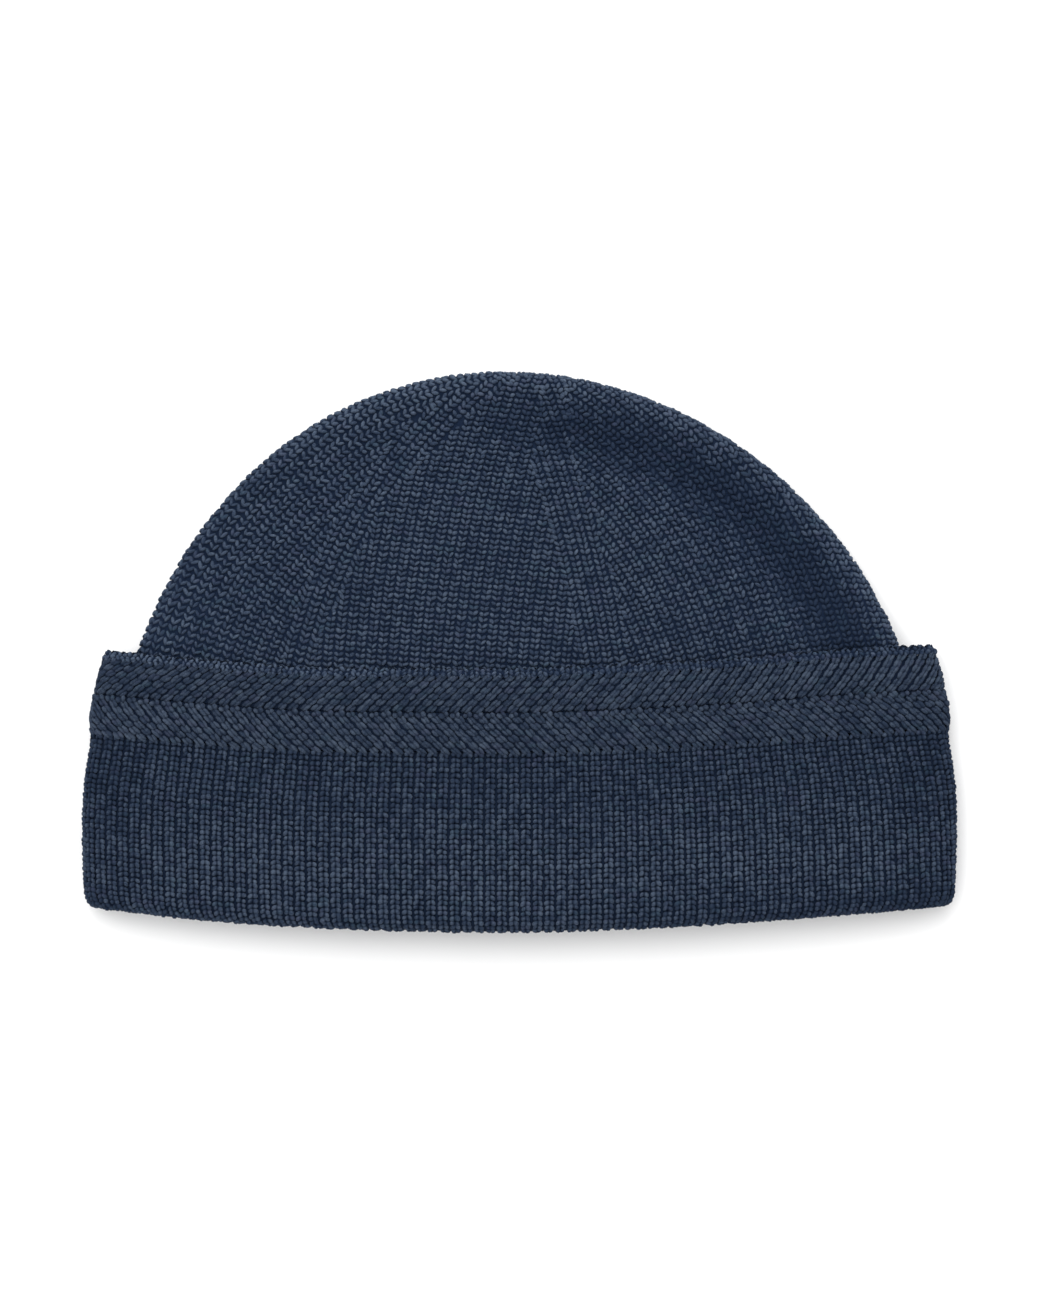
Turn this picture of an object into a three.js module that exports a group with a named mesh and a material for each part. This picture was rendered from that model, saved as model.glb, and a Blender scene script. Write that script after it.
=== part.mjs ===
// Knitted fisherman beanie with a turned-up cuff, lying on its back on a flat surface.
// Millimetres. X runs across the hat, Y from the cuff's fold to the crown's tip, Z up.
import * as THREE from 'three';

// Overall sizes of the hat as it lies
const hatWidth = 227.5;
const hatLength = 146.1;
const cuffThickness = 21;
const cuffHeight = 68.4;
const crownRise = 111.8;

// Knit thicknesses
const crownWall = 2.4;
const cuffWall = 2.8;
const clearance = 0.3;

// Ribs and slanting strands
const ribCount = 154;
const ribDepth = 0.75;
const strandDepth = 1.0;
const strandSlant = 10.2;
const ribLean = 4.2;
const leanReach = 0.25;

// Softness of the shapes
const frontFullness = 3;
const backFullness = 6;
const cuffSag = 7;
const foldPuff = 1.1;
const rimRadius = 4;
const rimSkirt = 32;
const tipDrift = -3.9;
const tipDriftPower = 1.8;

// Fineness of the rings
const smoothRingCount = 52;
const measuringSteps = 7200;

// Width of the crown's round outline as a share of the hat's
const crownWidthShare = 0.932;

// Levels up the cuff, as shares of its height
const seamShare = 0.14;
const ribTopShare = 0.684;
const rowBorderShare = 0.835;
const castOffShare = 0.966;

// Places that follow from the sizes above
const gapShare = clearance / cuffHeight;
const crownHalfWidth = (crownWidthShare * hatWidth) / 2;
const foldY = -hatLength / 2;
const crownCentreY = hatLength / 2 - crownRise;
const middleZ = cuffThickness / 2;
const innerFaceOut = crownWall + clearance;
const outerFaceOut = innerFaceOut + cuffWall;
const hollowHalfHeight = middleZ - outerFaceOut;
const cuffTopY = foldY + cuffHeight;
const crownBaseY = cuffTopY + cuffSag;
const crownFront = middleZ + hollowHalfHeight + crownWall;

// Half width of the cuff going up, as a share of half the hat's width
const cuffWidths = [
  { up: 0.0, wide: 0.992 },
  { up: 0.12, wide: 0.997 },
  { up: 0.32, wide: 1.0 },
  { up: 0.5, wide: 0.996 },
  { up: 0.67, wide: 0.987 },
  { up: 0.83, wide: 0.975 },
  { up: 0.92, wide: 0.961 },
  { up: 1.0, wide: 0.952 },
];

// How far the fold and the cast-off edge lift towards the sides, as shares of the sag
const cuffLines = [
  { across: -1.0, fold: 0.9, edge: 0.64 },
  { across: -0.75, fold: 0.46, edge: 0.3 },
  { across: -0.5, fold: 0.19, edge: 0.04 },
  { across: -0.25, fold: 0.05, edge: 0.0 },
  { across: 0.0, fold: 0.0, edge: 0.0 },
  { across: 0.25, fold: 0.12, edge: 0.13 },
  { across: 0.5, fold: 0.34, edge: 0.33 },
  { across: 0.75, fold: 0.63, edge: 0.66 },
  { across: 1.0, fold: 0.95, edge: 0.84 },
];

// Crown from the cuff's edge to the tip: height of its side edge as a share of the cuff's
// middle, height of its front as a share of that inside the cuff, how far its back still
// hangs above the surface as a share of the cuff's layers below it, and how far the
// section has changed from the cuff's to the crown's own
const crownStations = [
  { rise: 0, edge: 1.0, front: 1.0, hang: 0.5, own: 0.0 },
  { rise: 0.08, edge: 0.9, front: 0.99, hang: 0.28, own: 0.3 },
  { rise: 0.19, edge: 0.74, front: 0.98, hang: 0.05, own: 0.75 },
  { rise: 0.31, edge: 0.6, front: 0.96, hang: 0.0, own: 1.0 },
  { rise: 0.53, edge: 0.46, front: 0.91, hang: 0.0, own: 1.0 },
  { rise: 1, edge: 0.39, front: 0.86, hang: 0.0, own: 1.0 },
];

// Outer side of the rib band going up: reach outwards as a share of the cuff's stack of
// layers, front puff as a share of the fold's, ribs as a share of their depth
const ribBandRows = [
  { up: 0.0, out: 0.5, puff: 0.3, ribs: 0.6 },
  { up: 0.014, out: 0.82, puff: 0.6, ribs: 1 },
  { up: 0.05, out: 1.0, puff: 0.9, ribs: 1 },
  { up: 0.16, out: 1.0, puff: 1.0, ribs: 1 },
  { up: 0.42, out: 1.0, puff: 0.35, ribs: 1 },
  { up: ribTopShare, out: 1.0, puff: 0.1, ribs: 1 },
];

// Slanting row from its lower to its upper border: share of its height, reach past the
// face of the ribs as a share of the strand's depth, and share of its slant
const strandRows = [
  { rise: 0, reach: -0.35, slant: 0 },
  { rise: 0.5, reach: 0.4, slant: 0.5 },
  { rise: 1, reach: -0.35, slant: 1 },
];

// Rows of the crown inside the cuff, as shares of the cuff's height
const bandUps = [seamShare + gapShare, 0.34, 0.56, 0.78, 0.94];

// Rows of the crown above the cuff, outer and inner, from its base to near the tip
const outerRowCount = 12;
const innerRowCount = 6;

function clampShare(value) {
  return Math.min(Math.max(value, 0), 1);
}

function smoothShare(from, to, value) {
  const share = clampShare((value - from) / (to - from));
  return share * share * (3 - 2 * share);
}

// Reads one column of a table, easing through its rows.
function readTable(table, key, column, value) {
  const last = table.length - 2;
  let row = 0;
  while (row < last && value > table[row + 1][key]) {
    row += 1;
  }
  const before = table[Math.max(row - 1, 0)];
  const start = table[row];
  const end = table[row + 1];
  const after = table[Math.min(row + 2, table.length - 1)];
  const span = end[key] - start[key];
  const share = clampShare((value - start[key]) / span);
  const startSlope = (end[column] - before[column]) / (end[key] - before[key]);
  const endSlope = (after[column] - start[column]) / (after[key] - start[key]);
  const square = share * share;
  const cube = square * share;
  return (2 * cube - 3 * square + 1) * start[column]
    + (cube - 2 * square + share) * startSlope * span
    + (3 * square - 2 * cube) * end[column]
    + (cube - square) * endSlope * span;
}

// Height of a full, pillow-like section at a share of its half width.
function fullness(across, power) {
  return Math.pow(1 - Math.pow(Math.min(Math.abs(across), 1), power), 1 / power);
}

function sectionLift(across, facesFront) {
  return fullness(across, facesFront ? frontFullness : backFullness);
}

// Equal lengths round the cuff: the angle at each share of the way round, starting at the
// right side edge and going over the front to the left edge and back below.
const wayRound = measureWayRound();

function measureWayRound() {
  const lengths = [0];
  let previous = new THREE.Vector2(hatWidth / 2, 0);
  for (let step = 1; step <= measuringSteps; step += 1) {
    const angle = (2 * Math.PI * step) / measuringSteps;
    const across = Math.cos(angle);
    const rises = Math.sin(angle) >= 0;
    const height = middleZ * sectionLift(across, rises) * (rises ? 1 : -1);
    const point = new THREE.Vector2((hatWidth / 2) * across, height);
    lengths.push(lengths[step - 1] + point.distanceTo(previous));
    previous = point;
  }
  return { lengths, total: lengths[measuringSteps] };
}

function angleAt(share) {
  const turns = Math.floor(share);
  const target = (share - turns) * wayRound.total;
  let low = 0;
  let high = measuringSteps;
  while (high - low > 1) {
    const middle = (low + high) >> 1;
    if (wayRound.lengths[middle] <= target) {
      low = middle;
    } else {
      high = middle;
    }
  }
  const stretch = wayRound.lengths[high] - wayRound.lengths[low];
  const step = low + (target - wayRound.lengths[low]) / stretch;
  return 2 * Math.PI * (step / measuringSteps + turns);
}

function shareAt(angle) {
  const step = (angle / (2 * Math.PI)) * measuringSteps;
  const low = Math.floor(step);
  const high = Math.min(low + 1, measuringSteps);
  const length = wayRound.lengths[low]
    + (wayRound.lengths[high] - wayRound.lengths[low]) * (step - low);
  return length / wayRound.total;
}

// Closed body laid up ring by ring and joined with triangles.
class KnitBody {
  constructor() {
    this.corners = [];
    this.faces = [];
  }

  addCorner(point) {
    this.corners.push(point.x, point.y, point.z);
    return this.corners.length / 3 - 1;
  }

  // Each stop has its share of the way round; place turns a stop into a point.
  addRing(stops, place) {
    return stops.map((stop) => ({ share: stop.share, corner: this.addCorner(place(stop)) }));
  }

  joinRings(first, second) {
    if (first.length === second.length) {
      first.forEach((stop, index) => {
        const next = (index + 1) % first.length;
        this.faces.push(stop.corner, second[index].corner, first[next].corner);
        this.faces.push(first[next].corner, second[index].corner, second[next].corner);
      });
      return;
    }
    this.zipRings(first, second);
  }

  // Joins rings of unlike counts, always stepping on along the ring that lags behind.
  zipRings(first, second) {
    const start = nearestStop(second, first[0].share);
    const at = (ring, index) => ring[index % ring.length];
    const shareOf = (ring, index) => at(ring, index).share + Math.floor(index / ring.length);
    const offset = Math.round(first[0].share - second[start].share);
    let one = 0;
    let two = 0;
    while (one < first.length || two < second.length) {
      const nextOne = shareOf(first, one + 1);
      const nextTwo = shareOf(second, start + two + 1) + offset;
      const here = at(first, one).corner;
      const there = at(second, start + two).corner;
      if (two >= second.length || (one < first.length && nextOne <= nextTwo)) {
        this.faces.push(here, there, at(first, one + 1).corner);
        one += 1;
      } else {
        this.faces.push(here, there, at(second, start + two + 1).corner);
        two += 1;
      }
    }
  }

  closeToTip(ring, point) {
    const tip = this.addCorner(point);
    ring.forEach((stop, index) => {
      this.faces.push(stop.corner, tip, ring[(index + 1) % ring.length].corner);
    });
  }

  openFromTip(point, ring) {
    const tip = this.addCorner(point);
    ring.forEach((stop, index) => {
      this.faces.push(tip, stop.corner, ring[(index + 1) % ring.length].corner);
    });
  }

  toGeometry() {
    const geometry = new THREE.BufferGeometry();
    geometry.setAttribute('position', new THREE.Float32BufferAttribute(this.corners, 3));
    geometry.setIndex(this.faces);
    geometry.computeVertexNormals();
    return geometry;
  }
}

function nearestStop(ring, share) {
  let best = 0;
  let bestGap = Infinity;
  ring.forEach((stop, index) => {
    const gap = Math.abs(stop.share - share - Math.round(stop.share - share));
    if (gap < bestGap) {
      bestGap = gap;
      best = index;
    }
  });
  return best;
}

// Stops at equal angles, closer together where the hat folds at its sides.
function smoothStops() {
  const stops = [];
  for (let index = 0; index < smoothRingCount; index += 1) {
    const angle = (2 * Math.PI * index) / smoothRingCount;
    stops.push({ angle, share: shareAt(angle) });
  }
  return stops;
}

// Ribs lean near the right edge of the hat only, and more the further up the cuff.
function leanAt(share, up) {
  const fromRightEdge = Math.abs(share - Math.round(share));
  return ((ribLean * up) / wayRound.total) * (1 - smoothShare(0, leanReach, fromRightEdge));
}

// One stop on each rib's crest and one in each groove between two ribs.
function ribStops(slide, up) {
  const stops = [];
  for (let index = 0; index < 2 * ribCount; index += 1) {
    const even = index / (2 * ribCount);
    const share = even + slide / wayRound.total + leanAt(even, up);
    stops.push({ angle: angleAt(share), share, crest: index % 2 === 0 });
  }
  return stops;
}

function cuffSagAt(across, up) {
  const fold = readTable(cuffLines, 'across', 'fold', across);
  const edge = readTable(cuffLines, 'across', 'edge', across);
  return cuffSag * (fold + (edge - fold) * up);
}

function hollowHalfWidth(up) {
  return (hatWidth / 2) * readTable(cuffWidths, 'up', 'wide', up) - outerFaceOut;
}

// Point of the cuff at an angle round it, a share of its height and a reach outwards
// from the hollow; the front puffs up further, the back is pressed flat.
function cuffPoint(angle, up, out, puff) {
  const across = Math.cos(angle);
  const rises = Math.sin(angle) >= 0;
  const frontReach = out + (rises ? puff * Math.sin(angle) : 0);
  const lift = (hollowHalfHeight + frontReach) * sectionLift(across, rises);
  return new THREE.Vector3(
    (hollowHalfWidth(up) + out) * across,
    foldY + up * cuffHeight + cuffSagAt(across, up),
    Math.max(middleZ + (rises ? lift : -lift), 0),
  );
}

function smoothCuffRing(body, up, out, puff) {
  return body.addRing(smoothStops(), (stop) => cuffPoint(stop.angle, up, out, puff));
}

function addLoop(body, rings) {
  rings.forEach((ring, index) => body.joinRings(ring, rings[(index + 1) % rings.length]));
}

function makeRibBand() {
  const body = new KnitBody();
  const [, turnRow, foldedRow, puffRow, flatRow, topRow] = ribBandRows;
  const outerRings = ribBandRows.map((row) => body.addRing(ribStops(0, row.up), (stop) => {
    const groove = stop.crest ? 0 : ribDepth * row.ribs;
    const out = row.out * outerFaceOut - groove;
    return cuffPoint(stop.angle, row.up, out, row.puff * foldPuff);
  }));
  const innerRings = [
    ...[topRow, flatRow, puffRow].map(
      (row) => smoothCuffRing(body, row.up, innerFaceOut, row.puff * foldPuff),
    ),
    smoothCuffRing(body, foldedRow.up, (innerFaceOut + crownWall) / 2, 0),
    smoothCuffRing(body, seamShare, crownWall, 0),
    smoothCuffRing(body, seamShare, 0, 0),
    smoothCuffRing(body, foldedRow.up, 0, 0),
    smoothCuffRing(body, turnRow.up, outerFaceOut * (1 - turnRow.out), 0),
  ];
  addLoop(body, [...outerRings, ...innerRings]);
  return body.toGeometry();
}

// One row of slanting strands between two levels; slide gives its start round the cuff.
function makeStrandRow(fromUp, toUp, startSlide, endSlide) {
  const body = new KnitBody();
  const outerRings = strandRows.map((row) => {
    const up = fromUp + (toUp - fromUp) * row.rise;
    const slide = startSlide + (endSlide - startSlide) * row.slant;
    return body.addRing(ribStops(slide, up), (stop) => {
      const groove = stop.crest ? 0 : strandDepth;
      return cuffPoint(stop.angle, up, outerFaceOut + row.reach * strandDepth - groove, 0);
    });
  });
  const innerRings = [
    smoothCuffRing(body, toUp, innerFaceOut, 0),
    smoothCuffRing(body, fromUp, innerFaceOut, 0),
  ];
  addLoop(body, [...outerRings, ...innerRings]);
  return body.toGeometry();
}

function makeCastOffEdge() {
  const body = new KnitBody();
  const fromUp = castOffShare + gapShare;
  const middleUp = (fromUp + 1) / 2;
  addLoop(body, [
    smoothCuffRing(body, fromUp, outerFaceOut - strandDepth / 2, 0),
    smoothCuffRing(body, middleUp, outerFaceOut, 0),
    smoothCuffRing(body, 1, outerFaceOut - strandDepth, 0),
    smoothCuffRing(body, 1, innerFaceOut + clearance, 0),
    smoothCuffRing(body, fromUp, innerFaceOut, 0),
  ]);
  return body.toGeometry();
}

// Half width of the crown at a level: inside the cuff it fills the cuff's hollow, above
// it follows the crown's round outline.
function crownHalfWidthAt(y, inset) {
  const rise = clampShare((y - crownCentreY) / (crownRise - inset));
  const round = (crownHalfWidth - inset) * Math.sqrt(1 - rise * rise);
  const up = clampShare((y - foldY) / cuffHeight);
  const filling = hollowHalfWidth(up) + crownWall - inset;
  return filling + (round - filling) * smoothShare(foldY + cuffHeight / 2, cuffTopY, y);
}

// Half height of the crown at a distance in from its round outline: a rolled rim and then
// a soft slope up to the top of the dome.
function domeLift(fromRim, radius, top) {
  const roll = 1 - Math.min(fromRim / radius, 1);
  return radius * Math.sqrt(1 - roll * roll) + (top - radius) * smoothShare(0, rimSkirt, fromRim);
}

// Point of the crown at an angle round it and a level; inset gives the inner side.
function crownPoint(angle, y, inset) {
  const across = Math.cos(angle);
  const rises = Math.sin(angle) >= 0;
  const height = (y - crownBaseY) / (hatLength / 2 - crownBaseY);
  const station = (column) => readTable(crownStations, 'rise', column, height);
  const rise = clampShare((y - crownCentreY) / (crownRise - inset));
  const outwards = Math.sqrt(rise * rise + (1 - rise * rise) * across * across);
  const fromRim = (1 - outwards) * (crownHalfWidth - inset);
  const edgeZ = middleZ * station('edge');
  const sagFade = 1 - smoothShare(foldY + cuffHeight / 2, cuffTopY, y);
  const sag = cuffSagAt(across, (y - foldY) / cuffHeight) * sagFade;
  const drift = tipDrift * Math.pow(Math.max(y, 0) / (hatLength / 2), tipDriftPower);
  const frontTop = crownFront * station('front') - edgeZ - inset;
  const backTop = edgeZ - station('hang') * outerFaceOut - inset;
  const bandTop = rises ? frontTop : crownFront - middleZ - inset;
  const bandLift = bandTop * sectionLift(across, rises);
  const ownLift = domeLift(fromRim, rimRadius - inset, rises ? frontTop : backTop);
  const lift = bandLift + (ownLift - bandLift) * station('own');
  return new THREE.Vector3(
    crownHalfWidthAt(y, inset) * across + drift,
    y + sag,
    Math.max(edgeZ + (rises ? lift : -lift), inset),
  );
}

function crownLevels(rowCount, inset) {
  const levels = bandUps.map((up) => foldY + up * cuffHeight);
  const baseTurn = Math.asin((cuffTopY - crownCentreY) / (crownRise - inset));
  const rowTurn = (Math.PI / 2 - baseTurn) / rowCount;
  for (let row = 0; row < rowCount; row += 1) {
    const turn = baseTurn + rowTurn * (row + 0.5);
    levels.push(crownCentreY + (crownRise - inset) * Math.sin(turn));
  }
  return levels;
}

function makeCrown() {
  const body = new KnitBody();
  const ringsOf = (rowCount, inset) => crownLevels(rowCount, inset).map(
    (y) => body.addRing(smoothStops(), (stop) => crownPoint(stop.angle, y, inset)),
  );
  const outer = ringsOf(outerRowCount, 0);
  const inner = ringsOf(innerRowCount, crownWall).reverse();
  const tipAt = (inset) => crownPoint(0, crownCentreY + crownRise - inset, inset);
  outer.slice(1).forEach((ring, index) => body.joinRings(outer[index], ring));
  body.closeToTip(outer[outer.length - 1], tipAt(0));
  body.openFromTip(tipAt(crownWall), inner[0]);
  inner.slice(1).forEach((ring, index) => body.joinRings(inner[index], ring));
  body.joinRings(inner[inner.length - 1], outer[0]);
  return body.toGeometry();
}

function addKnit(group, name, geometry, colour) {
  const material = new THREE.MeshStandardMaterial({ color: colour, roughness: 0.95, metalness: 0 });
  material.name = name;
  const mesh = new THREE.Mesh(geometry, material);
  mesh.name = name;
  group.add(mesh);
}

const group = new THREE.Group();
group.name = 'fisherman_beanie';

const cuff = new THREE.Group();
cuff.name = 'turned_up_cuff';
group.add(cuff);

addKnit(group, 'crown', makeCrown(), 0x2a3445);
addKnit(cuff, 'cuff_rib_band', makeRibBand(), 0x2b3547);
addKnit(
  cuff,
  'herringbone_lower_row',
  makeStrandRow(ribTopShare + gapShare, rowBorderShare, 0, strandSlant),
  0x2b3546,
);
addKnit(
  cuff,
  'herringbone_upper_row',
  makeStrandRow(rowBorderShare + gapShare, castOffShare, strandSlant, 0),
  0x2c3647,
);
addKnit(cuff, 'cast_off_edge', makeCastOffEdge(), 0x2d3849);

export default group;
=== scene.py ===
"""Looks of a knitted fisherman beanie that lies on its back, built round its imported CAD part.

The hat is a hollow knitted shell with a turned-up cuff. Each CAD node gets a cloth piece of the
same form, and the stitches that stand out of the cloth are laid over it leg by leg.
"""

import logging
import math
from dataclasses import dataclass, replace
from enum import Enum
from typing import Callable, Sequence

import bmesh
import bpy
import numpy as np
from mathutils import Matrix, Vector

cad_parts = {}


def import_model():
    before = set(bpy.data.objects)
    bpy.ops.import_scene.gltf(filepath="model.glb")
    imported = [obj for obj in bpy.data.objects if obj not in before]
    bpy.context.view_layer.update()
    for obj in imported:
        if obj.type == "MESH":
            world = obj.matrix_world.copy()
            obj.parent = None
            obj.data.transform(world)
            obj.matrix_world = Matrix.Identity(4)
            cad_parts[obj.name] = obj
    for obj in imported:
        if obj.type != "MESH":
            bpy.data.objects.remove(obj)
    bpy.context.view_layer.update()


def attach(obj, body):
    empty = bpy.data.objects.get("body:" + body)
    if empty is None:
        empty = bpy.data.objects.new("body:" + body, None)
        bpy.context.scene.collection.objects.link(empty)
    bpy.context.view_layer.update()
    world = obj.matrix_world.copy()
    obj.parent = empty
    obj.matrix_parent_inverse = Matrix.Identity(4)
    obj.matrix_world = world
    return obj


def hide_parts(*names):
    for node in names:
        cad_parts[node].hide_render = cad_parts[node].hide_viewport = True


LOG = logging.getLogger("beanie")
MAP_NAME = "OFBake"
TABLE_GAP = 2e-5

# Parts of a wale and of a course over which a stitch's directions are measured
WALE_STEP = 0.02
COURSE_STEP = 0.05

# How unevenly legs lie: turn in radians, tip as a slope, sizes as shares, place in metres
TURN_SPREAD = 0.12
TIP_SPREAD = 0.08
LENGTH_SPREAD = 0.08
WIDTH_SPREAD = 0.07
HEIGHT_SPREAD = 0.14
PLACE_SPREAD = 0.00006

# How far legs grow with the spacing of the courses, and how high they stand at the sides
STRETCH_LIMITS = (0.8, 1.4)
STRETCH_POWER = 1.2
SIDE_HEIGHT = 0.6

# Widths of the baking maps, as shares of the hat's
PLAN_SPAN = 1.02
RING_SPAN = 1.05

# Baking map of a ring: its cloth below, then a band for its front and one for its back
CLOTH_MAP = (0.98, 0.48)
MAP_MARGIN = 0.01
BAND_MAP = 0.22
FRONT_MAP = 0.51
BACK_MAP = 0.76

Array = np.ndarray
Pair = tuple[float, float]
Triple = tuple[float, float, float]
Colour = Triple
Socket = bpy.types.NodeSocket
PointLaw = Callable[[Array, Array], Array]


class Side(Enum):
    """Which face of the lying hat a stitch belongs to."""

    FRONT = 1
    BACK = -1


# Tables


@dataclass(frozen=True)
class WidthRow:
    """Half width of the cuff, as a share of half the hat's width."""

    up: float
    wide: float


@dataclass(frozen=True)
class SagRow:
    """Lift of the fold and of the cast-off edge towards the sides, as shares of the sag."""

    across: float
    fold: float
    edge: float


@dataclass(frozen=True)
class CrownRow:
    """Section of the crown at a share of the way from the cuff's edge to the tip."""

    rise: float
    edge: float
    front: float
    hang: float
    own: float


@dataclass(frozen=True)
class ProfileRow:
    """One level of the rib band, from its top down its outer side and round the fold."""

    up: float
    out: float
    puff: float


@dataclass(frozen=True)
class SectionStop:
    """One stop on the way along a section of the cuff: its reach is in metres."""

    at: float
    up: float
    out: float
    puff: float = 0.0


@dataclass(frozen=True)
class PaintedLightRow:
    """Painted light or shade on the rib stitches at a share of the cuff's height."""

    up: float
    shift: float


@dataclass(frozen=True)
class MitreRow:
    """Where the decrease lines between the crown's gores run at a level, in metres."""

    y: float
    first: float
    second: float
    third: float
    fourth: float


@dataclass(frozen=True)
class Gore:
    """Grain of one gore of the crown, in metres and radians, as the hat lies.

    Its wales run round one pivot and its courses fan out from another.
    """

    name: str
    start_line: str
    end_line: str
    wale_x: float
    wale_y: float
    course_x: float
    course_y: float
    through_x: float
    through_y: float
    turn: float
    wale: float
    first_radius: float
    wales: int
    courses_before: int
    courses: int
    bend: float = 0.0
    bend_growth: float = 0.0
    slant: float = 0.9
    spread: float = 0.2


CUFF_WIDTHS = (
    WidthRow(0.0, 0.992),
    WidthRow(0.12, 0.997),
    WidthRow(0.32, 1.0),
    WidthRow(0.5, 0.996),
    WidthRow(0.67, 0.987),
    WidthRow(0.83, 0.975),
    WidthRow(0.92, 0.961),
    WidthRow(1.0, 0.952),
)
CUFF_LINES = (
    SagRow(-1.0, 0.9, 0.64),
    SagRow(-0.75, 0.46, 0.3),
    SagRow(-0.5, 0.19, 0.04),
    SagRow(-0.25, 0.05, 0.0),
    SagRow(0.0, 0.0, 0.0),
    SagRow(0.25, 0.12, 0.13),
    SagRow(0.5, 0.34, 0.33),
    SagRow(0.75, 0.63, 0.66),
    SagRow(1.0, 0.95, 0.84),
)
CROWN_ROWS = (
    CrownRow(0.0, 1.0, 1.0, 0.5, 0.0),
    CrownRow(0.08, 0.9, 0.99, 0.28, 0.3),
    CrownRow(0.19, 0.74, 0.98, 0.05, 0.75),
    CrownRow(0.31, 0.6, 0.96, 0.0, 1.0),
    CrownRow(0.53, 0.46, 0.91, 0.0, 1.0),
    CrownRow(1.0, 0.39, 0.86, 0.0, 1.0),
)
RIB_PROFILE = (
    ProfileRow(0.684, 1.0, 0.1),
    ProfileRow(0.42, 1.0, 0.35),
    ProfileRow(0.16, 1.0, 1.0),
    ProfileRow(0.05, 1.0, 0.9),
    ProfileRow(0.014, 0.82, 0.6),
    ProfileRow(0.0, 0.5, 0.3),
    ProfileRow(0.014, 0.18, 0.1),
    ProfileRow(0.05, 0.0, 0.0),
    ProfileRow(0.14, 0.0, 0.0),
)
# Painted light and shade on the ribs: painted shade at the foot and below the herringbone border,
# painted light on the fold's upper slope
RIB_PAINTED_LIGHT = (
    PaintedLightRow(0.0, -0.35),
    PaintedLightRow(0.08, -0.08),
    PaintedLightRow(0.2, 0.08),
    PaintedLightRow(0.34, -0.08),
    PaintedLightRow(0.5, -0.4),
    PaintedLightRow(0.7, -0.45),
)
MITRES = (
    MitreRow(-0.012, -0.0640, -0.0550, 0.0160, 0.0272),
    MitreRow(0.003, -0.0605, -0.0525, 0.0147, 0.0272),
    MitreRow(0.013, -0.0573, -0.0468, 0.0131, 0.0262),
    MitreRow(0.021, -0.0535, -0.0437, 0.0110, 0.0235),
    MitreRow(0.029, -0.0505, -0.0397, 0.0088, 0.0212),
    MitreRow(0.037, -0.0460, -0.0362, 0.0068, 0.0195),
    MitreRow(0.0445, -0.0396, -0.0298, 0.0042, 0.0160),
    MitreRow(0.052, -0.0350, -0.0222, 0.0038, 0.0133),
    MitreRow(0.060, -0.0280, -0.0150, 0.0054, 0.0130),
    MitreRow(0.066, -0.0190, -0.0080, 0.0060, 0.0125),
    MitreRow(0.074, -0.0030, 0.0040, 0.0060, 0.0115),
)
GORES = (
    Gore(
        "left", "", "first",
        wale_x=0.0171, wale_y=-0.0337, course_x=0.0171, course_y=-0.0337,
        through_x=-0.0599, through_y=0.0078, turn=-0.0173, wale=0.0027,
        first_radius=0.0300, wales=36, courses_before=24, courses=92,
    ),
    Gore(
        "left_wedge", "first", "second",
        wale_x=0.095, wale_y=-0.0398, course_x=0.220, course_y=-0.0955,
        through_x=-0.0522, through_y=0.0049, turn=-0.00573, wale=0.0029,
        first_radius=0.1380, wales=11, courses_before=16, courses=76,
    ),
    Gore(
        "middle", "second", "third",
        wale_x=0.300, wale_y=-0.027, course_x=2.0, course_y=-0.160,
        through_x=0.0, through_y=0.0, turn=-0.000725, wale=0.0028,
        first_radius=0.2820, wales=28, courses_before=12, courses=66,
    ),
    Gore(
        "right_wedge", "third", "fourth",
        wale_x=-0.360, wale_y=-0.068, course_x=-2.0, course_y=-0.177,
        through_x=0.020, through_y=-0.0010, turn=0.000739, wale=0.0030,
        first_radius=0.3750, wales=9, courses_before=10, courses=64,
        slant=0.8, spread=0.21,
    ),
    Gore(
        "right", "fourth", "",
        wale_x=-0.0625, wale_y=-0.0357, course_x=-0.1251, course_y=-0.0462,
        through_x=0.0287, through_y=0.0003, turn=0.0087, wale=0.0029,
        first_radius=0.0880, wales=30, courses_before=22, courses=92,
        bend=1.0, bend_growth=170.0, slant=0.72, spread=0.2,
    ),
)


def smooth_share(start: float, end: float, value: Array) -> Array:
    """Eases from 0 at start to 1 at end.

    Args:
        start: Value at which the share leaves 0.
        end: Value at which the share reaches 1.
        value: Values to ease.

    Returns:
        The eased shares.
    """
    share = np.clip((value - start) / (end - start), 0.0, 1.0)
    return share * share * (3.0 - 2.0 * share)


def hump(stops: tuple[float, ...], value: Array) -> Array:
    """Eases from 0 to 1 between the first two stops, and back to 0 between the last two.

    Args:
        stops: The four stops, in rising order.
        value: Values to ease.

    Returns:
        The eased shares.
    """
    return smooth_share(*stops[:2], value) * (1 - smooth_share(*stops[2:], value))


def read_rows(rows: Sequence, key: str, column: str, value: Array) -> Array:
    """Reads one column of a table, easing through its rows.

    Args:
        rows: The table, in rising order of its key.
        key: Name of the field that the table is read by.
        column: Name of the field that is read.
        value: Where to read.

    Returns:
        The eased values of the column.
    """
    keys = np.array([getattr(row, key) for row in rows])
    read = np.array([getattr(row, column) for row in rows])
    slopes = np.empty_like(read)
    slopes[1:-1] = (read[2:] - read[:-2]) / (keys[2:] - keys[:-2])
    slopes[0] = (read[1] - read[0]) / (keys[1] - keys[0])
    slopes[-1] = (read[-1] - read[-2]) / (keys[-1] - keys[-2])
    at = np.clip(np.asarray(value, float), keys[0], keys[-1])
    row = np.clip(np.searchsorted(keys, at, side="right") - 1, 0, len(keys) - 2)
    span = keys[row + 1] - keys[row]
    share = (at - keys[row]) / span
    square, cube = share**2, share**3
    return (
        (2 * cube - 3 * square + 1) * read[row]
        + (cube - 2 * square + share) * slopes[row] * span
        + (3 * square - 2 * cube) * read[row + 1]
        + (cube - square) * slopes[row + 1] * span
    )


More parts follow.
